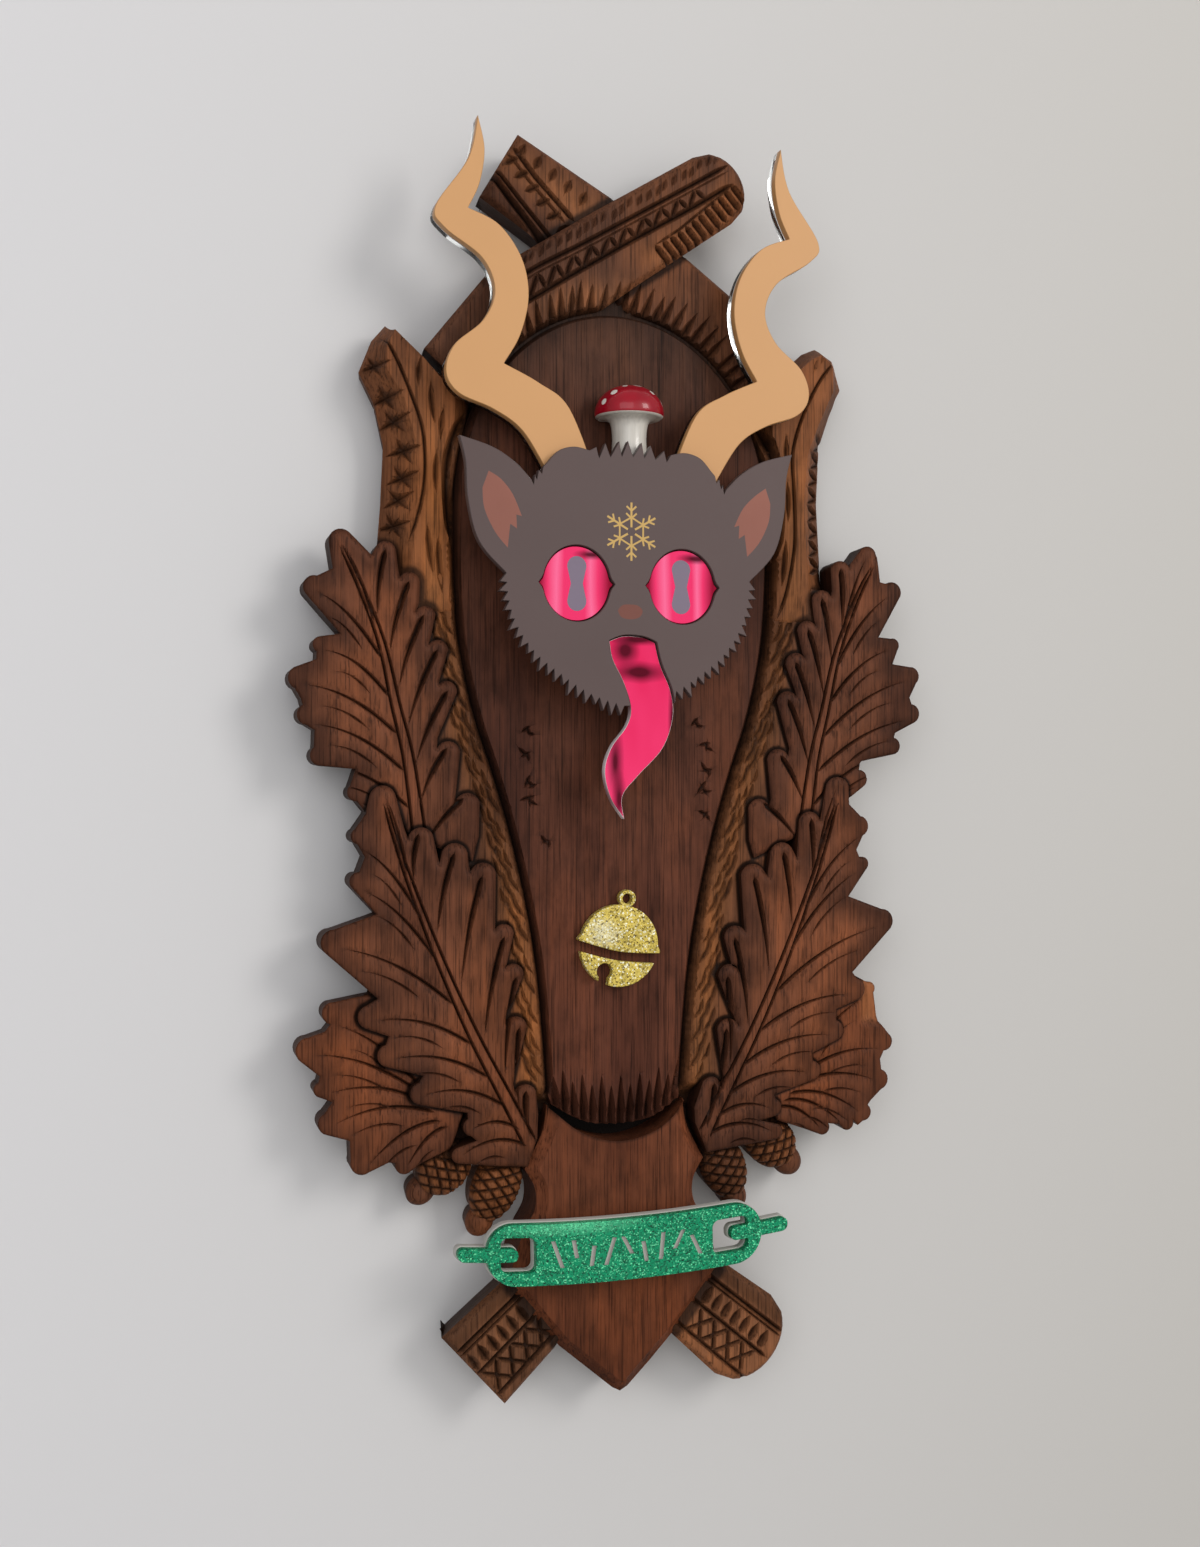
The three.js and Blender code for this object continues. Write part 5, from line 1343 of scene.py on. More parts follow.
TONGUE_SHIFT = 0.9
TONGUE_TOP = [(-8.3, -121.2), (-3.5, -119.5), (3, -119.8), (7.2, -121.4)]
TONGUE_RIGHT = [(7.2, -121.4), (9, -128.5), (12.6, -137), (13.4, -145.5), (9.8, -155.6), (1.5, -164.4),
                (-3.8, -171), (-3.2, -178.4)]
TONGUE_LEFT = [(-3.2, -178.4), (-7.8, -171.6), (-9.8, -163), (-7.6, -155.4), (-2.4, -148.4), (-1, -142.5),
               (-3.4, -134.6), (-7.2, -127), (-8.3, -121.2)]


def tongue_outline():
    loop = np.vstack([catmull(TONGUE_TOP, 4), catmull(TONGUE_RIGHT, 8)[1:], catmull(TONGUE_LEFT, 8)[1:-1]])
    return loop + [TONGUE_SHIFT, 0]


def ear_inlay(side):
    shape = {-1: [(-47.6, -68.6), (-43.6, -71), (-39.8, -75.6), (-36.8, -82.4), (-38.6, -82), (-38.4, -86.4),
                  (-40.6, -85), (-41.4, -92.6), (-45.6, -87.6), (-49, -80.4), (-49.6, -74)],
             1: [(46.3, -69.6), (42.2, -72.6), (38.2, -76.8), (35.2, -82.8), (37, -82.2), (36.8, -86.6),
                 (38.9, -85.2), (39.8, -92.4), (44.2, -87.4), (47.4, -80.6), (48, -74.6)]}[side]
    curve = arr(shape)
    return np.vstack([catmull(curve[:4], 5), curve[4:8], catmull(curve[7:], 5)[1:]])


def nose_inlay():
    c = np.array([-0.7, -111.8])
    pts = [(-4.2, 0.5), (-2.6, 2.2), (0, 2.5), (2.6, 2.2), (4.2, 0.5), (3, -1.6), (0, -2.3), (-3, -1.6),
           (-4.2, 0.5)]
    return catmull(arr(pts), 5)[:-1] + c


def snowflake_parts():
    """Six arms with two pairs of side twigs each, as thin bars that all overlap in one star."""
    centre, bars = np.array([-0.3, -85.8]), []

    def bar(a, b, half):
        a, b = np.array(a), np.array(b)
        d = (b - a) / np.hypot(*(b - a))
        n = np.array([-d[1], d[0]]) * half
        return np.array([a - n, b - n, b + n, a + n]) + centre

    for k in range(6):
        t = math.radians(90 + 60 * k)
        d = np.array([math.cos(t), math.sin(t)])
        bars.append(bar(d * 1.4, d * 9.4, 0.34))
        for reach, twig in ((4.3, 2.4), (6.7, 2.2)):
            for lean in (-48, 48):
                a = t + math.radians(lean)
                p = d * reach
                bars.append(bar(p, p + twig * np.array([math.cos(a), math.sin(a)]), 0.3))
        u = math.radians(90 + 60 * (k + 1))
        e = np.array([math.cos(u), math.sin(u)])
        bars.append(bar(d * 4.6, e * 4.6, 0.28))
    return bars


BELL_MIDDLE, BELL_RADIUS, BELL_TILT = np.array([0.2, -220.2]), 13.4, -10.2


def bell_upper():
    x, y = BELL_MIDDLE
    flare = BELL_RADIUS + 0.9
    dome = arc(x, y, BELL_RADIUS, 8, 172, 40)
    sole = catmull([(x - flare, y - 0.5), (x, y - 2), (x + flare, y - 0.5)], 12)
    body = np.vstack([dome, [(x - flare, y + 0.2)], sole, [(x + flare, y + 0.2)]])
    ring = arc(x, y + 15.6, 2.85, 0, 360, 30)[:-1]
    neck = arr([(x - 2, y + 12.4), (x + 2, y + 12.4), (x + 1.5, y + 13.8), (x - 1.5, y + 13.8)])
    hole = arc(x, y + 15.6, 1.7, 0, 360, 20)[:-1]
    loops = [turned(loop, BELL_TILT, BELL_MIDDLE) for loop in (body, ring, neck, hole)]
    keep = lambda p: (inside(p, loops[0]) | inside(p, loops[1]) | inside(p, loops[2])) & ~inside(p, loops[3])
    return loops, keep


def bell_lower():
    x, y = BELL_MIDDLE
    bowl = arc(x, y - 0.3, BELL_RADIUS, 196, 344, 40)
    lip = catmull([bowl[-1], (x, y - 5), bowl[0]], 12)[1:-1]
    hole = arc(x - 3.6, y - 9.2, 2.7, 0, 360, 30)[:-1]
    slit = arr([(x - 5.3, y - 9.4), (x - 1.8, y - 9.4), (x - 1.6, y - 15), (x - 5.2, y - 15)])
    loops = [turned(loop, BELL_TILT, BELL_MIDDLE) for loop in (np.vstack([bowl, lip]), hole, slit)]
    keep = lambda p: inside(p, loops[0]) & ~inside(p, loops[1]) & ~inside(p, loops[2])
    return loops, keep


TAG_MIDDLE, TAG_HALF, TAG_RISE, TAG_SAG, TAG_TILT = np.array([-0.4, -317.4]), 46.6, 9.8, 2.2, 1.1
TAG_SLOTS = [(-42.2, -30.6, -5.6, 5.6), (29.4, 41.8, -5.6, 5.6)]
TAG_LINKS = [(-56, -36.4, -2.1, 2.2), (35.8, 56, -2, 2.4)]


def on_tag(points):
    p = arr(points)
    bent = p + np.column_stack([np.zeros(len(p)), TAG_SAG * (p[:, 0] / TAG_HALF) ** 2])
    return turned(bent + TAG_MIDDLE, TAG_TILT, TAG_MIDDLE)


def rounded_bar(x0, x1, y0, y1, radius):
    return densify(np.vstack([arc(x1 - radius, y1 - radius, radius, 0, 90, 9),
                              arc(x0 + radius, y1 - radius, radius, 90, 180, 9),
                              arc(x0 + radius, y0 + radius, radius, 180, 270, 9),
                              arc(x1 - radius, y0 + radius, radius, 270, 360, 9)]), 1.5)


def tag_shape(grow):
    """The plate with a slot at each end; half a link lies through each slot's outer wall."""
    wide = lambda box, by: (box[0] - by, box[1] + by, box[2] - by, box[3] + by)
    body = on_tag(rounded_bar(*wide((-TAG_HALF, TAG_HALF, -TAG_RISE, TAG_RISE), grow), 9.2))
    slots = [on_tag(rounded_bar(*wide(slot, -grow), 2.4)) for slot in TAG_SLOTS]
    links = [on_tag(rounded_bar(*wide(link, grow), 2.0)) for link in TAG_LINKS]

    def keep(p):
        plate = inside(p, body) & ~inside(p, slots[0]) & ~inside(p, slots[1])
        return plate | inside(p, links[0]) | inside(p, links[1])

    return [body, *slots, *links], keep


STROKE_DEPTH = 0.9


def tag_strokes():
    """A row of plain strokes in place of lettering."""
    strokes = []
    for i in range(9):
        x = 47 * (i / 8 - 0.5)
        low = -1.43 if i % 3 == 1 else -4.3
        high = 2.15 if i % 3 == 2 else 4.3
        lean = (i % 4) - 1.5
        strokes.append(on_tag([(x - lean - 0.7, low), (x - lean + 0.7, low), (x + lean + 0.7, high),
                               (x + lean - 0.7, high)]))
    return strokes


TOADSTOOL = dict(x=2.1, depth=24.3, rim=-47.8, cap_radius=11.4, cap_height=11.2, stem_radius=6.0,
                 stem_length=24.0)


def make_toadstool():
    t = TOADSTOOL
    r, h, s = t["cap_radius"], t["cap_height"], t["stem_radius"]
    under = catmull([(0.0, -t["stem_length"]), (s * 0.98, -t["stem_length"]), (s * 0.97, -12), (s * 0.94, -6),
                     (s + 0.3, -1.3), (r - 3.2, 0.15), (r - 0.9, 0.35)], 7)
    a = np.radians(np.linspace(-38, 90, 26))
    cap = np.column_stack([r - 1.6 + 1.6 * np.cos(a[:6]), 1.75 + 1.5 * np.sin(a[:6])])
    b = np.radians(np.linspace(2, 90, 22))
    dome = np.column_stack([r * np.cos(b) ** 0.93, 1.75 + (h - 1.75) * np.sin(b)])
    profile = np.vstack([under, cap, dome])
    profile[:, 0] = np.clip(profile[:, 0], 0, r)
    sides = 64
    rings, co, faces, kind = len(profile), [], [], []
    ang = np.linspace(0, 2 * math.pi, sides, endpoint=False)
    floor_z = PANEL + GAP
    for px, py in profile:
        z = t["depth"] + px * np.cos(ang)
        co.append(np.column_stack([t["x"] + px * np.sin(ang), np.full(sides, t["rim"] + py),
                                   np.maximum(z, floor_z)]))
    co = np.vstack(co)
    split = len(under) + 1
    for k in range(rings - 1):
        for i in range(sides):
            j = (i + 1) % sides
            p, q = k * sides, (k + 1) * sides
            faces += [(p + i, p + j, q + j), (p + i, q + j, q + i)]
            kind += [1 if k < split else 0] * 2
    faces = np.array(faces)
    v = co[faces]
    n = np.cross(v[:, 1] - v[:, 0], v[:, 2] - v[:, 0])
    good = np.hypot(np.hypot(n[:, 0], n[:, 1]), n[:, 2]) > 1e-7
    mesh = to_mesh("toadstool_body", co, faces[good], np.array(kind)[good])
    mesh.shade_smooth()
    return add_object("toadstool_body", mesh)


# Materials

class Mat:
    def __init__(self, name, **inputs):
        self.mat = bpy.data.materials.new(name)
        self.mat.use_nodes = True
        self.t = self.mat.node_tree
        self.bsdf = self.t.nodes["Principled BSDF"]
        self.set(**inputs)

    def set(self, **inputs):
        for key, value in inputs.items():
            self.bsdf.inputs[key.replace("_", " ")].default_value = value

    def node(self, kind, **props):
        n = self.t.nodes.new(kind)
        for key, value in props.items():
            if key in n.inputs:
                n.inputs[key].default_value = value
            else:
                setattr(n, key, value)
        return n

    def link(self, a, b):
        self.t.links.new(a, b)

    def coords(self, scale=(1, 1, 1)):
        tex = self.node("ShaderNodeTexCoord")
        mapping = self.node("ShaderNodeMapping")
        mapping.inputs["Scale"].default_value = scale
        self.link(tex.outputs["Object"], mapping.inputs["Vector"])
        return mapping.outputs["Vector"]

    def noise(self, scale, stretch=(1, 1, 1), detail=4, roughness=0.55):
        n = self.node("ShaderNodeTexNoise")
        n.inputs["Scale"].default_value = scale
        n.inputs["Detail"].default_value = detail
        n.inputs["Roughness"].default_value = roughness
        self.link(self.coords(stretch), n.inputs["Vector"])
        return n.outputs["Fac"]

    def ramp(self, value, *stops):
        r = self.node("ShaderNodeValToRGB")
        e = r.color_ramp.elements
        while len(e) < len(stops):
            e.new(0.5)
        for item, (place, colour) in zip(e, stops):
            item.position = place
            item.color = (*colour, 1) if hasattr(colour, "__len__") else (colour,) * 3 + (1,)
        self.link(value, r.inputs["Fac"])
        return r.outputs["Color"]

    def mix(self, kind, fac, a, b):
        m = self.node("ShaderNodeMix")
        m.data_type, m.blend_type = "RGBA", kind
        for socket, value in ((m.inputs[0], fac), (m.inputs[6], a), (m.inputs[7], b)):
            if hasattr(value, "is_output"):
                self.link(value, socket)
            elif socket.type == "RGBA":
                socket.default_value = (*value, 1)
            else:
                socket.default_value = value
        return m.outputs[2]

    def math(self, op, a, b=0.0, c=0.0):
        m = self.node("ShaderNodeMath")
        m.operation = op
        for socket, value in zip(m.inputs, (a, b, c)):
            if hasattr(value, "is_output"):
                self.link(value, socket)
            else:
                socket.default_value = value
        return m.outputs[0]

    def bump(self, height, strength, distance, chain=None):
        b = self.node("ShaderNodeBump")
        b.inputs["Strength"].default_value = strength
        b.inputs["Distance"].default_value = distance
        self.link(height, b.inputs["Height"])
        if chain is not None:
            self.link(chain, b.inputs["Normal"])
        self.link(b.outputs["Normal"], self.bsdf.inputs["Normal"])
        return b.outputs["Normal"]

    def spot(self, x, z, wide, tall):
        """Distance from a place on the front, 1 on an ellipse with these half sizes in mm."""
        place_at = self.node("ShaderNodeMapping", vector_type="TEXTURE")
        place_at.inputs["Location"].default_value = (x * MM, 0, z * MM)
        place_at.inputs["Scale"].default_value = (wide * MM, 1, tall * MM)
        self.link(self.coords(), place_at.inputs["Vector"])
        reach = self.node("ShaderNodeVectorMath", operation="LENGTH")
        self.link(place_at.outputs["Vector"], reach.inputs[0])
        return reach.outputs["Value"]

    def colour(self, socket):
        self.link(socket, self.bsdf.inputs["Base Color"])

    def rough(self, socket):
        self.link(socket, self.bsdf.inputs["Roughness"])


def wood_material():
    m = Mat("carved_walnut_stain", Specular_IOR_Level=0.08)
    tint = m.node("ShaderNodeAttribute", attribute_name="tint")
    dark_stain_and_shade = m.node("ShaderNodeAttribute", attribute_name="dark_stain_and_shade")
    fibre = m.noise(1.0, (560, 560, 8), 6, 0.6)
    fine = m.noise(1.0, (1700, 1700, 45), 3, 0.6)
    patch = m.noise(1.0, (34, 34, 13), 4, 0.55)
    mottle = m.noise(150.0, (1, 1, 0.5), 4, 0.6)
    colour = m.mix("MULTIPLY", 1.0, tint.outputs["Color"], m.ramp(
        fibre, (0.3, (0.78, 0.76, 0.74)), (0.5, 1.0), (0.72, (1.18, 1.13, 1.05))))
    colour = m.mix("MULTIPLY", 0.9, colour,
                   m.ramp(fine, (0.36, 0.46), (0.47, 0.98), (0.66, 1.12), (0.76, 1.5)))
    scratch = m.noise(1.0, (900, 900, 24), 2, 0.5)
    colour = m.mix("MULTIPLY", 0.8, colour,
                   m.ramp(scratch, (0.31, 0.4), (0.38, 1.0), (0.7, 1.0), (0.78, 1.4)))
    colour = m.mix("MULTIPLY", 1.0, colour,
                   m.ramp(patch, (0.32, (0.62, 0.6, 0.62)), (0.5, 1.0), (0.7, (1.5, 1.36, 1.12))))
    colour = m.mix("MULTIPLY", 0.8, colour, m.ramp(mottle, (0.34, 0.66), (0.5, 1.0), (0.7, 1.22)))
    # The darkness attribute mixes the wood towards near black: dark stain and painted shade in the cuts,
    # painted shadow beside overlying pieces, painted shade on the sides.
    dark = m.math("MULTIPLY", dark_stain_and_shade.outputs["Fac"], 0.95)
    colour = m.mix("MIX", dark, colour, (0.007, 0.004, 0.003))
    m.colour(colour)
    m.rough(m.math("MULTIPLY_ADD", fibre, 0.22, 0.42))
    first = m.bump(fibre, 0.35, 0.0004)
    m.bump(m.noise(1.0, (170, 170, 60), 3, 0.5), 0.35, 0.0006, first)
    return m.mat


def matte_material(name, colour, rough, speck=0.06, spec=0.4):
    m = Mat(name, Specular_IOR_Level=spec)
    n = m.noise(900.0, (1, 1, 1), 3, 0.5)
    cloud = m.noise(30.0, (1, 1, 1), 2, 0.5)
    base = m.mix("MULTIPLY", 1.0, colour, m.ramp(cloud, (0.3, 1 - speck), (0.7, 1 + speck)))
    m.colour(base)
    m.rough(m.math("MULTIPLY_ADD", n, 0.14, rough - 0.07))
    m.bump(n, 0.08, 0.0001)
    return m.mat


def clear_material():
    m = Mat("clear_acrylic_edge", Base_Color=(0.93, 0.95, 0.95, 1), IOR=1.49, Transmission_Weight=1.0,
            Specular_IOR_Level=0.5)
    m.rough(m.math("MULTIPLY_ADD", m.noise(600.0), 0.06, 0.02))
    return m.mat


def polished_edge(name):
    """Cut edge of the mirror sheet, red with near-white stretches painted as highlights where the clear edge
    catches the light.
    """
    m = Mat(name, Roughness=0.2, Coat_Weight=0.5)
    m.colour(m.ramp(m.noise(45.0, (1, 1, 0.6), 1, 0.5), (0.42, srgb(120, 10, 40)),
                    (0.5, srgb(232, 222, 222))))
    return m.mat


def mirror_material(name, painted_dark_reflections=(), middle=None):
    """Red mirror; its second argument lists (x, z, half width, half height) in mm of painted dark
    reflections.
    With middle, painted upright streaks of reflected light run across an eye that has its centre there."""
    m = Mat(name, Metallic=0.88, Roughness=0.05)
    wave = m.noise(55.0, (1, 1, 0.35), 2, 0.5)
    red, light, deep = (0.9, 0.04, 0.16), (1.0, 0.16, 0.34), (0.3, 0.004, 0.03)
    if middle is None:
        colour = m.ramp(wave, (0.3, (0.8, 0.02, 0.11)), (0.5, red), (0.72, (0.96, 0.09, 0.25)))
    else:
        across = m.node("ShaderNodeSeparateXYZ")
        m.link(m.coords(), across.inputs["Vector"])
        share = m.math("MULTIPLY_ADD", across.outputs["X"], 0.5 / (EYE_REACH * MM),
                       0.5 - 0.5 * middle / EYE_REACH)
        share = m.math("ADD", share, m.math("MULTIPLY_ADD", wave, 0.22, -0.11))
        colour = m.ramp(share, (0.03, deep), (0.14, red), (0.27, light), (0.36, red), (0.62, red),
                        (0.7, light), (0.8, red), (0.95, deep))
    for x, z, wide, tall in painted_dark_reflections:
        reach = m.math("ADD", m.spot(x, z, wide, tall), m.math("MULTIPLY_ADD", wave, 1.2, -0.6))
        shade = m.ramp(m.math("MULTIPLY", reach, 0.5), (0.12, 1.0), (0.62, 0.0))
        colour = m.mix("MIX", m.math("MULTIPLY", shade, 0.95), colour, (0.07, 0.002, 0.01))
    m.colour(colour)
    m.bump(wave, 0.05, 0.0006)
    return m.mat


def glitter_material(name, dark, middle, bright, scale, rough, glow=None):
    """Flakes of three tones; glow is (x, z, half width, half height) in mm of a painted highlight, a pale
    sheen.
    """
    m = Mat(name, Metallic=0.35, Specular_IOR_Level=0.3, Coat_Weight=0.12, Coat_Roughness=0.12)
    cells = m.node("ShaderNodeTexVoronoi")
    cells.inputs["Scale"].default_value = scale
    m.link(m.coords(), cells.inputs["Vector"])
    value = m.node("ShaderNodeSeparateColor")
    m.link(cells.outputs["Color"], value.inputs["Color"])
    colour = m.ramp(value.outputs[0], (0.0, dark), (0.4, middle), (0.84, middle), (0.97, bright))
    colour = m.mix("MULTIPLY", 0.7, colour, m.ramp(m.noise(420.0), (0.3, 0.62), (0.5, 1.0), (0.72, 1.35)))
    # Painted highlight: flakes turn pale inside the ellipse.
    if glow is not None:
        sheen = m.ramp(m.spot(*glow), (0.1, 1.0), (1.0, 0.0))
        flake = m.math("MULTIPLY", sheen, m.ramp(value.outputs[1], (0.1, 0.15), (0.9, 0.85)))
        colour = m.mix("MIX", flake, colour, bright)
    m.colour(colour)
    m.rough(m.math("MULTIPLY_ADD", value.outputs[1], 0.3, rough))
    m.bump(value.outputs[2], 0.5, 0.0003)
    return m.mat


def toadstool_materials():
    cap = Mat("toadstool_cap", Coat_Weight=0.4, Coat_Roughness=0.04, Roughness=0.3, Specular_IOR_Level=0.3)
    tex = cap.node("ShaderNodeTexCoord")
    colour = cap.ramp(cap.noise(70.0), (0.35, srgb(140, 2, 26)), (0.7, srgb(178, 8, 36)))
    t = TOADSTOOL
    dots = [(-0.62, 0.62, 0.5, 1.2), (-0.25, 0.84, 0.4, 0.9), (0.12, 0.9, 0.36, 1.5), (0.5, 0.66, 0.56, 1.0),
            (-0.86, 0.3, 0.36, 1.1), (0.84, 0.36, 0.4, 1.1), (0.3, 0.5, -0.8, 1.3), (-0.3, 0.55, -0.78, 1.2)]
    for dx, dy, dz, size in dots:
        n = np.array([dx, dy, dz]) / np.linalg.norm([dx, dy, dz])
        x = t["x"] + t["cap_radius"] * n[0]
        z = t["rim"] + 1.75 + (t["cap_height"] - 1.75) * n[1]
        y = -(t["depth"] + t["cap_radius"] * n[2])
        gap = cap.node("ShaderNodeVectorMath", operation="DISTANCE")
        cap.link(tex.outputs["Object"], gap.inputs[0])
        gap.inputs[1].default_value = (x * MM, y * MM, z * MM)
        mask = cap.math("LESS_THAN", gap.outputs["Value"], size * MM)
        colour = cap.mix("MIX", mask, colour, srgb(232, 226, 218))
    cap.colour(colour)
    cap.bump(cap.noise(250.0), 0.06, 0.0003)
    stem = Mat("toadstool_stem", Coat_Weight=0.5, Coat_Roughness=0.15, Roughness=0.35)
    stem.colour(stem.mix("MULTIPLY", 1.0, srgb(214, 208, 198),
                         stem.ramp(stem.noise(1.0, (900, 900, 60)), (0.3, 0.86),
                                                                          (0.6, 1.04))))
    stem.bump(stem.noise(1.0, (700, 700, 50)), 0.2, 0.0002)
    return cap.mat, stem.mat


# The pieces

SIDES = ((-1, "left"), (1, "right"))
FIT = 0.35
BACKING_GROW = 0.25


def place(obj, slot, *nodes, materials):
    for m in materials:
        obj.data.materials.append(m)
    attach(obj, "root")
    if nodes:
        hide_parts(*nodes)
    return obj


def within(loop, *cutouts):
    """A test for points inside the loop and outside its cutouts."""
    def keep(points):
        hit = inside(points, loop)
        for cutout in cutouts:
            hit = hit & ~inside(points, cutout)
        return hit
    return keep


def place_head(tongue_loop):
    outline = ccw(head_outline())
    sockets = [ccw(eye_outline(side, FIT)) for side, _ in SIDES]
    mouth = tongue_loop - normals(tongue_loop) * FIT
    inlays = [[ear_inlay(-1), ear_inlay(1)], [nose_inlay()], snowflake_parts()]
    head = sheet_piece("head_face", [outline, *sockets, mouth], within(outline, *sockets, mouth),
                       HEAD_FRONT - SHEET, HEAD_FRONT, inlays=inlays)
    brick = matte_material("brick_paint", srgb(150, 93, 78), 0.6, 0.12)
    nose_paint = matte_material("nose_paint", srgb(122, 70, 58), 0.55, 0.08)
    pale_gold = matte_material("pale_gold_paint", srgb(206, 168, 96), 0.5, 0.08)
    face = matte_material("taupe_acrylic_face", srgb(96, 80, 78), 0.5, 0.03, 0.25)
    # The edge material is a darker copy of the face: painted shade on the cut edges.
    edge = matte_material("taupe_acrylic_shaded_edge", srgb(86, 72, 70), 0.34, 0.04)
    place(head, "taupe_acrylic", "head_plate", materials=[face, edge, edge, brick, nose_paint, pale_gold])


def place_eye(side, word, mirror_edge, pupil):
    loop = ccw(eye_outline(side))
    eye = sheet_piece("eye_mirror_" + word, [loop], within(loop), MIRROR_FRONT - SHEET, MIRROR_FRONT,
                      inlays=[[pupil_outline(side)]], soften=0.12)
    middle = HEAD_MIDDLE + side * EYE_APART
    # A painted dark reflection near the top of the eye, and painted streaks of reflected light across it.
    mirror = mirror_material("red_mirror_eye_" + word, [(middle + 5, -93.6, 6, 1.5)], middle)
    place(eye, "red_mirror", "eye_" + word, materials=[mirror, mirror_edge, mirror_edge, pupil])


def place_horn(side, word, tan, tan_shaded_edge, clear):
    loop = ccw(horn_outline(side))
    horn = sheet_piece("horn_front_" + word, [loop], within(loop), HORN_FRONT - SHEET, HORN_FRONT)
    place(horn, "tan_acrylic", "horn_" + word, materials=[tan, tan_shaded_edge])
    under = sheet_piece("horn_clear_" + word, [loop], within(loop), HORN_FRONT - 2 * SHEET - GAP,
                        HORN_FRONT - SHEET - GAP, soften=0.15)
    place(under, "clear_acrylic", "horn_" + word + "_backing", materials=[clear, clear])


def place_eyes_and_horns():
    mirror_edge = matte_material("red_mirror_edge", srgb(176, 20, 56), 0.25, 0.05)
    pupil = matte_material("pupil_grey", srgb(126, 112, 130), 0.35, 0.03)
    tan = matte_material("tan_acrylic_face", srgb(214, 162, 110), 0.42, 0.015, 0.25)
    # The edge material is a darker copy of the face: painted shade on the cut edges.
    tan_shaded_edge = matte_material("tan_acrylic_shaded_edge", srgb(196, 146, 94), 0.3, 0.03)
    clear = clear_material()
    for side, word in SIDES:
        place_eye(side, word, mirror_edge, pupil)
        place_horn(side, word, tan, tan_shaded_edge, clear)


def place_tongue(loop):
    # Painted dark reflections on the tongue; its edge has painted highlights.
    streaks = [(-2.0, -124, 3.8, 4.2), (2.6, -131, 8, 2.8), (2.6, -120.4, 8, 1.6), (-5.4, -160, 2.6, 10),
               (-4.0, -172, 2.2, 8), (14.2, -146, 1.4, 12)]
    tongue = sheet_piece("tongue_mirror", [loop], within(loop), MIRROR_FRONT - SHEET, MIRROR_FRONT,
                         soften=0.12)
    materials = [mirror_material("red_mirror_tongue", streaks), polished_edge("red_mirror_tongue_edge")]
    place(tongue, "red_mirror", "tongue", materials=materials)


def place_bell():
    # The last tuple places a painted highlight at the upper left of the bell.
    gold = glitter_material("gold_glitter_sheet", srgb(92, 70, 16), srgb(220, 196, 92), srgb(255, 252, 222),
                            2100.0, 0.26, (-5.5, -216, 6.5, 6))
    for name, node, shape in (("bell_dome", "bell_upper", bell_upper),
                              ("bell_cup", "bell_lower", bell_lower)):
        loops, keep = shape()
        bell = sheet_piece(name, loops, keep, BELL_FRONT - SHEET, BELL_FRONT)
        place(bell, "gold_glitter", node, materials=[gold, gold])


def place_tag():
    # The last tuple places a painted highlight at the upper left of the tag.
    green = glitter_material("green_glitter_sheet", srgb(0, 58, 42), srgb(0, 152, 104), srgb(120, 240, 180),
                             2600.0, 0.25, (-18, -308.5, 26, 3.4))
    grey_white = matte_material("grey_white_acrylic", srgb(190, 187, 180), 0.45, 0.03)
    loops, keep = tag_shape(0)
    tag = sheet_piece("tag_face", loops, keep, TAG_FRONT - SHEET, TAG_FRONT, pockets=tag_strokes())
    place(tag, "green_glitter", "name_tag", materials=[green, green, grey_white])
    loops, keep = tag_shape(BACKING_GROW)
    backing = sheet_piece("tag_back_sheet", loops, keep, TAG_FRONT - 2 * SHEET - GAP, TAG_FRONT - SHEET - GAP)
    place(backing, "grey_acrylic", "name_tag_backing", materials=[grey_white, grey_white])


def dress_spacers():
    """The hidden spacers keep their CAD meshes and get a dark material."""
    dark = matte_material("dark_spacer", srgb(40, 35, 33), 0.6, 0.06)
    for node in ("head_standoff", "tag_standoff"):
        for slot in bpy.data.objects[node].material_slots:
            slot.material = dark


def place_everything():
    place(make_board(), "walnut", "carved_board", materials=[wood_material()])
    tongue_loop = densify(ccw(tongue_outline()), 1.5)
    place_head(tongue_loop)
    place_eyes_and_horns()
    place_tongue(tongue_loop)
    place_bell()
    place_tag()
    place(make_toadstool(), "toadstool_glaze", "toadstool", materials=toadstool_materials())
    dress_spacers()


# Wall, floor, light and camera

WALL_Y, FLOOR_Z, CEILING_Z, STAGE_HALF = 0.0006, -1.2, 1.8, 2.5


def sheet_stage(name, corners, material):
    mesh = bpy.data.meshes.new(name)
    mesh.from_pydata(corners, [], [(0, 1, 2, 3)])
    mesh.materials.append(material)
    obj = add_object(name, mesh)
    obj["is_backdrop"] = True
    return obj


def wall_material(name, colour):
    m = Mat(name, Roughness=0.9, Specular_IOR_Level=0.15)
    across = m.node("ShaderNodeSeparateXYZ")
    m.link(m.coords(), across.inputs["Vector"])
    # Painted light falloff: the wall and floor are painted brighter to the left and darker to the right.
    spread = m.math("MULTIPLY_ADD", across.outputs["X"], 2.1, 0.5)
    shade = m.ramp(spread, (0.0, (1.04, 1.05, 1.08)), (1.0, (0.82, 0.81, 0.78)))
    m.colour(m.mix("MULTIPLY", 1.0, colour, shade))
    return m


def clear_from_behind(m):
    """Lets the camera see through the back of the sheet."""
    behind = m.node("ShaderNodeNewGeometry")
    clear_back = m.node("ShaderNodeBsdfTransparent")
    shown = m.node("ShaderNodeMixShader")
    m.link(behind.outputs["Backfacing"], shown.inputs[0])
    m.link(m.bsdf.outputs[0], shown.inputs[1])
    m.link(clear_back.outputs[0], shown.inputs[2])
    m.link(shown.outputs[0], m.t.nodes["Material Output"].inputs["Surface"])


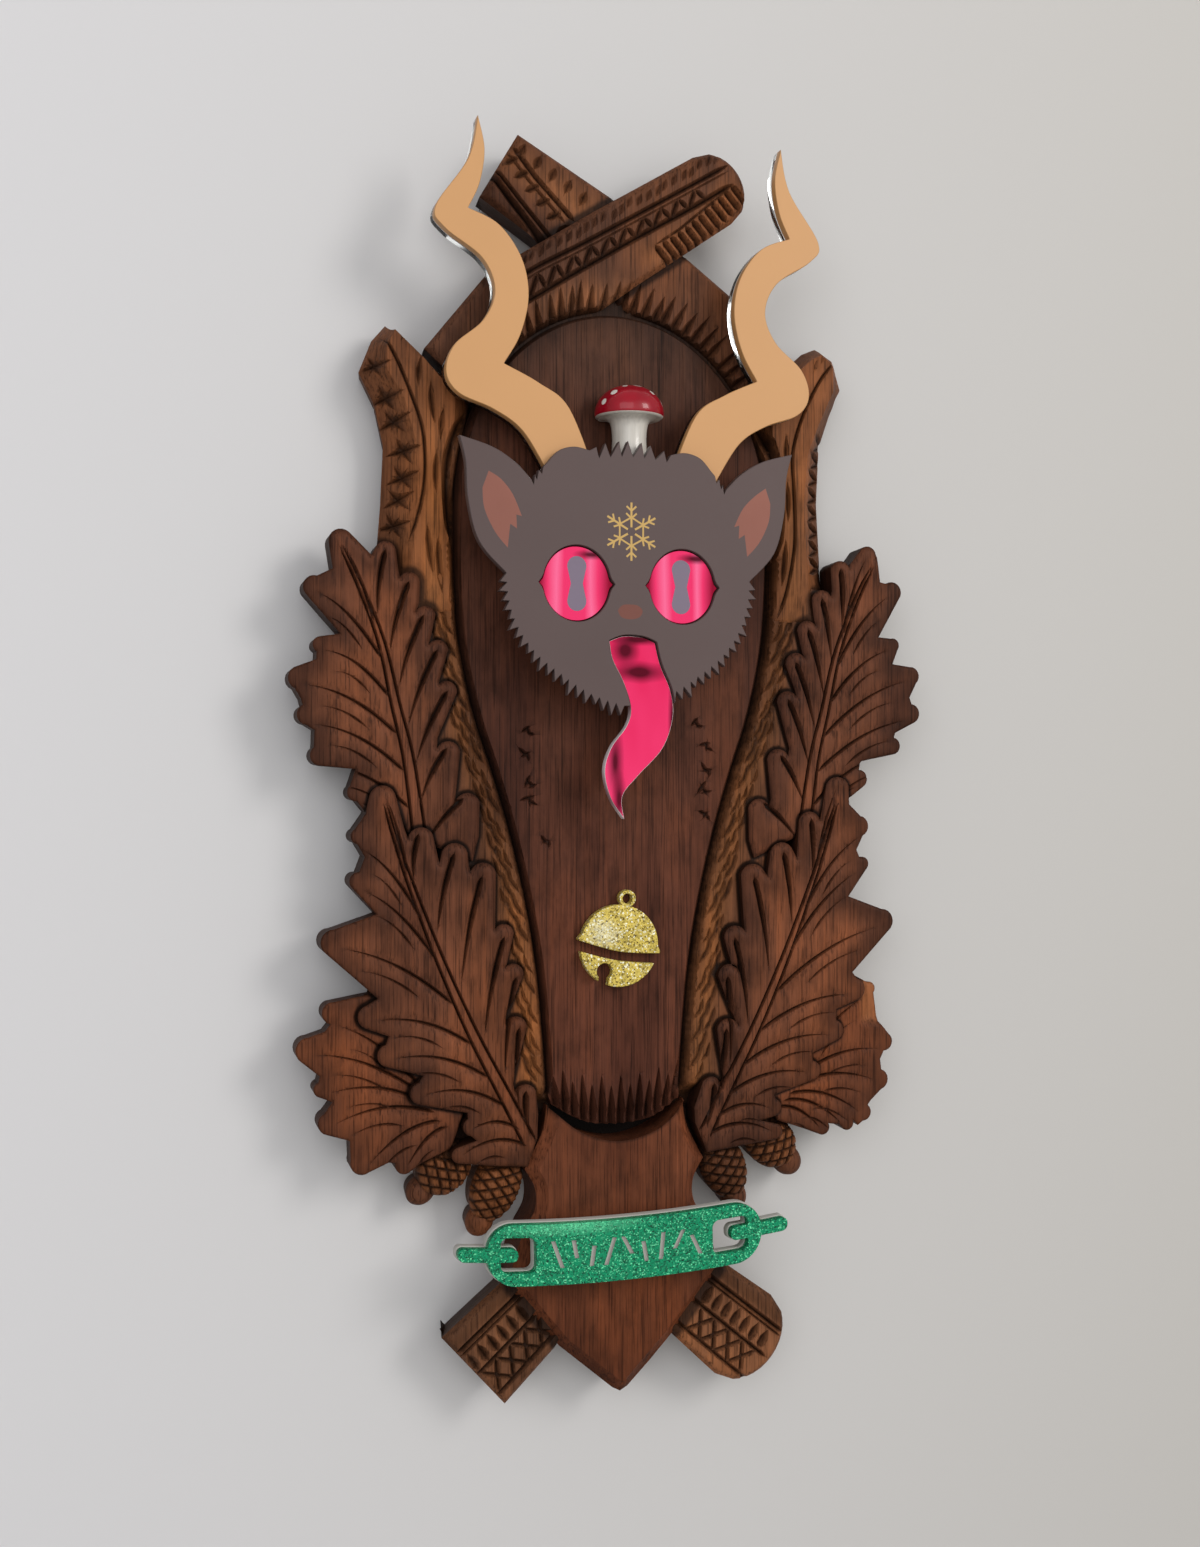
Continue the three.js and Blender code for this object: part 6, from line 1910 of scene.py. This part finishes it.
def make_stage():
    wall = wall_material("pale_wall", srgb(222, 220, 219))
    clear_from_behind(wall)
    half = STAGE_HALF
    corners = [(-half, WALL_Y, FLOOR_Z), (half, WALL_Y, FLOOR_Z), (half, WALL_Y, CEILING_Z),
               (-half, WALL_Y, CEILING_Z)]
    wall_sheet = sheet_stage("wall", corners, wall.mat)
    wall_sheet.visible_diffuse = False
    wall_sheet.visible_shadow = False
    corners = [(-half, -half, FLOOR_Z), (half, -half, FLOOR_Z), (half, WALL_Y, FLOOR_Z),
               (-half, WALL_Y, FLOOR_Z)]
    sheet_stage("floor", corners, wall_material("pale_floor", srgb(214, 212, 208)).mat)


def area_light(name, place_at, width, height, power, colour):
    """A window-like light aimed at the middle of the board."""
    aim = Vector((0, 0, -0.15))
    light = bpy.data.lights.new(name, "AREA")
    light.shape = "RECTANGLE"
    light.size, light.size_y = width, height
    light.energy = power
    light.color = colour
    obj = bpy.data.objects.new(name, light)
    obj.location = place_at
    obj.rotation_euler = (aim - Vector(place_at)).to_track_quat("-Z", "Y").to_euler()
    scene.collection.objects.link(obj)


def make_world():
    """A dim room, brighter towards one side of the viewer."""
    world = bpy.data.worlds.new("room")
    world.use_nodes = True
    tree = world.node_tree
    heading = tree.nodes.new("ShaderNodeTexCoord")
    towards = tree.nodes.new("ShaderNodeVectorMath")
    towards.operation = "DOT_PRODUCT"
    towards.inputs[1].default_value = Vector((0.34, -0.93, 0.08)).normalized()
    glow = tree.nodes.new("ShaderNodeValToRGB")
    dim, bright = glow.color_ramp.elements
    dim.position, dim.color = 0.72, (0.375, 0.375, 0.38, 1)
    bright.position, bright.color = 0.98, (1.0, 0.99, 0.97, 1)
    background = tree.nodes["Background"]
    tree.links.new(heading.outputs["Generated"], towards.inputs[0])
    tree.links.new(towards.outputs["Value"], glow.inputs["Fac"])
    tree.links.new(glow.outputs["Color"], background.inputs["Color"])
    background.inputs["Strength"].default_value = 1.0
    scene.world = world


CAMERA_PLACE = (-0.1826, -0.5841, -0.1677)
LENS, SENSOR = 41.887, 36
YAW, PITCH, ROLL = math.radians(17.337), math.radians(0.392), math.radians(0.036)


def make_camera():
    forward = Vector((math.sin(YAW) * math.cos(PITCH), math.cos(YAW) * math.cos(PITCH), math.sin(PITCH)))
    level = Vector((math.cos(YAW), -math.sin(YAW), 0))
    lift = level.cross(forward)
    right = math.cos(ROLL) * level + math.sin(ROLL) * lift
    up = -math.sin(ROLL) * level + math.cos(ROLL) * lift
    camera = bpy.data.cameras.new("camera")
    camera.sensor_width = SENSOR
    camera.lens = LENS
    camera.clip_start, camera.clip_end = 0.01, 20
    obj = bpy.data.objects.new("camera", camera)
    rows = [(right[k], up[k], -forward[k], CAMERA_PLACE[k]) for k in range(3)]
    obj.matrix_world = Matrix((*rows, (0, 0, 0, 1)))
    scene.collection.objects.link(obj)
    scene.camera = obj


place_everything()
make_stage()
area_light("window_right", (1.0, -1.25, 0.5), 0.55, 0.7, 9.0, (1.0, 0.98, 0.95))
area_light("sky_front", (-0.9, -1.8, 0.5), 1.6, 1.6, 11.5, (0.95, 0.97, 1.0))
make_world()
make_camera()
scene.view_settings.view_transform = "Standard"

bpy.context.view_layer.update()
plain = lambda box: [list(map(float, corner)) for corner in box]
{"cad": plain(CAD_BOX), "visual": plain(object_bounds())}
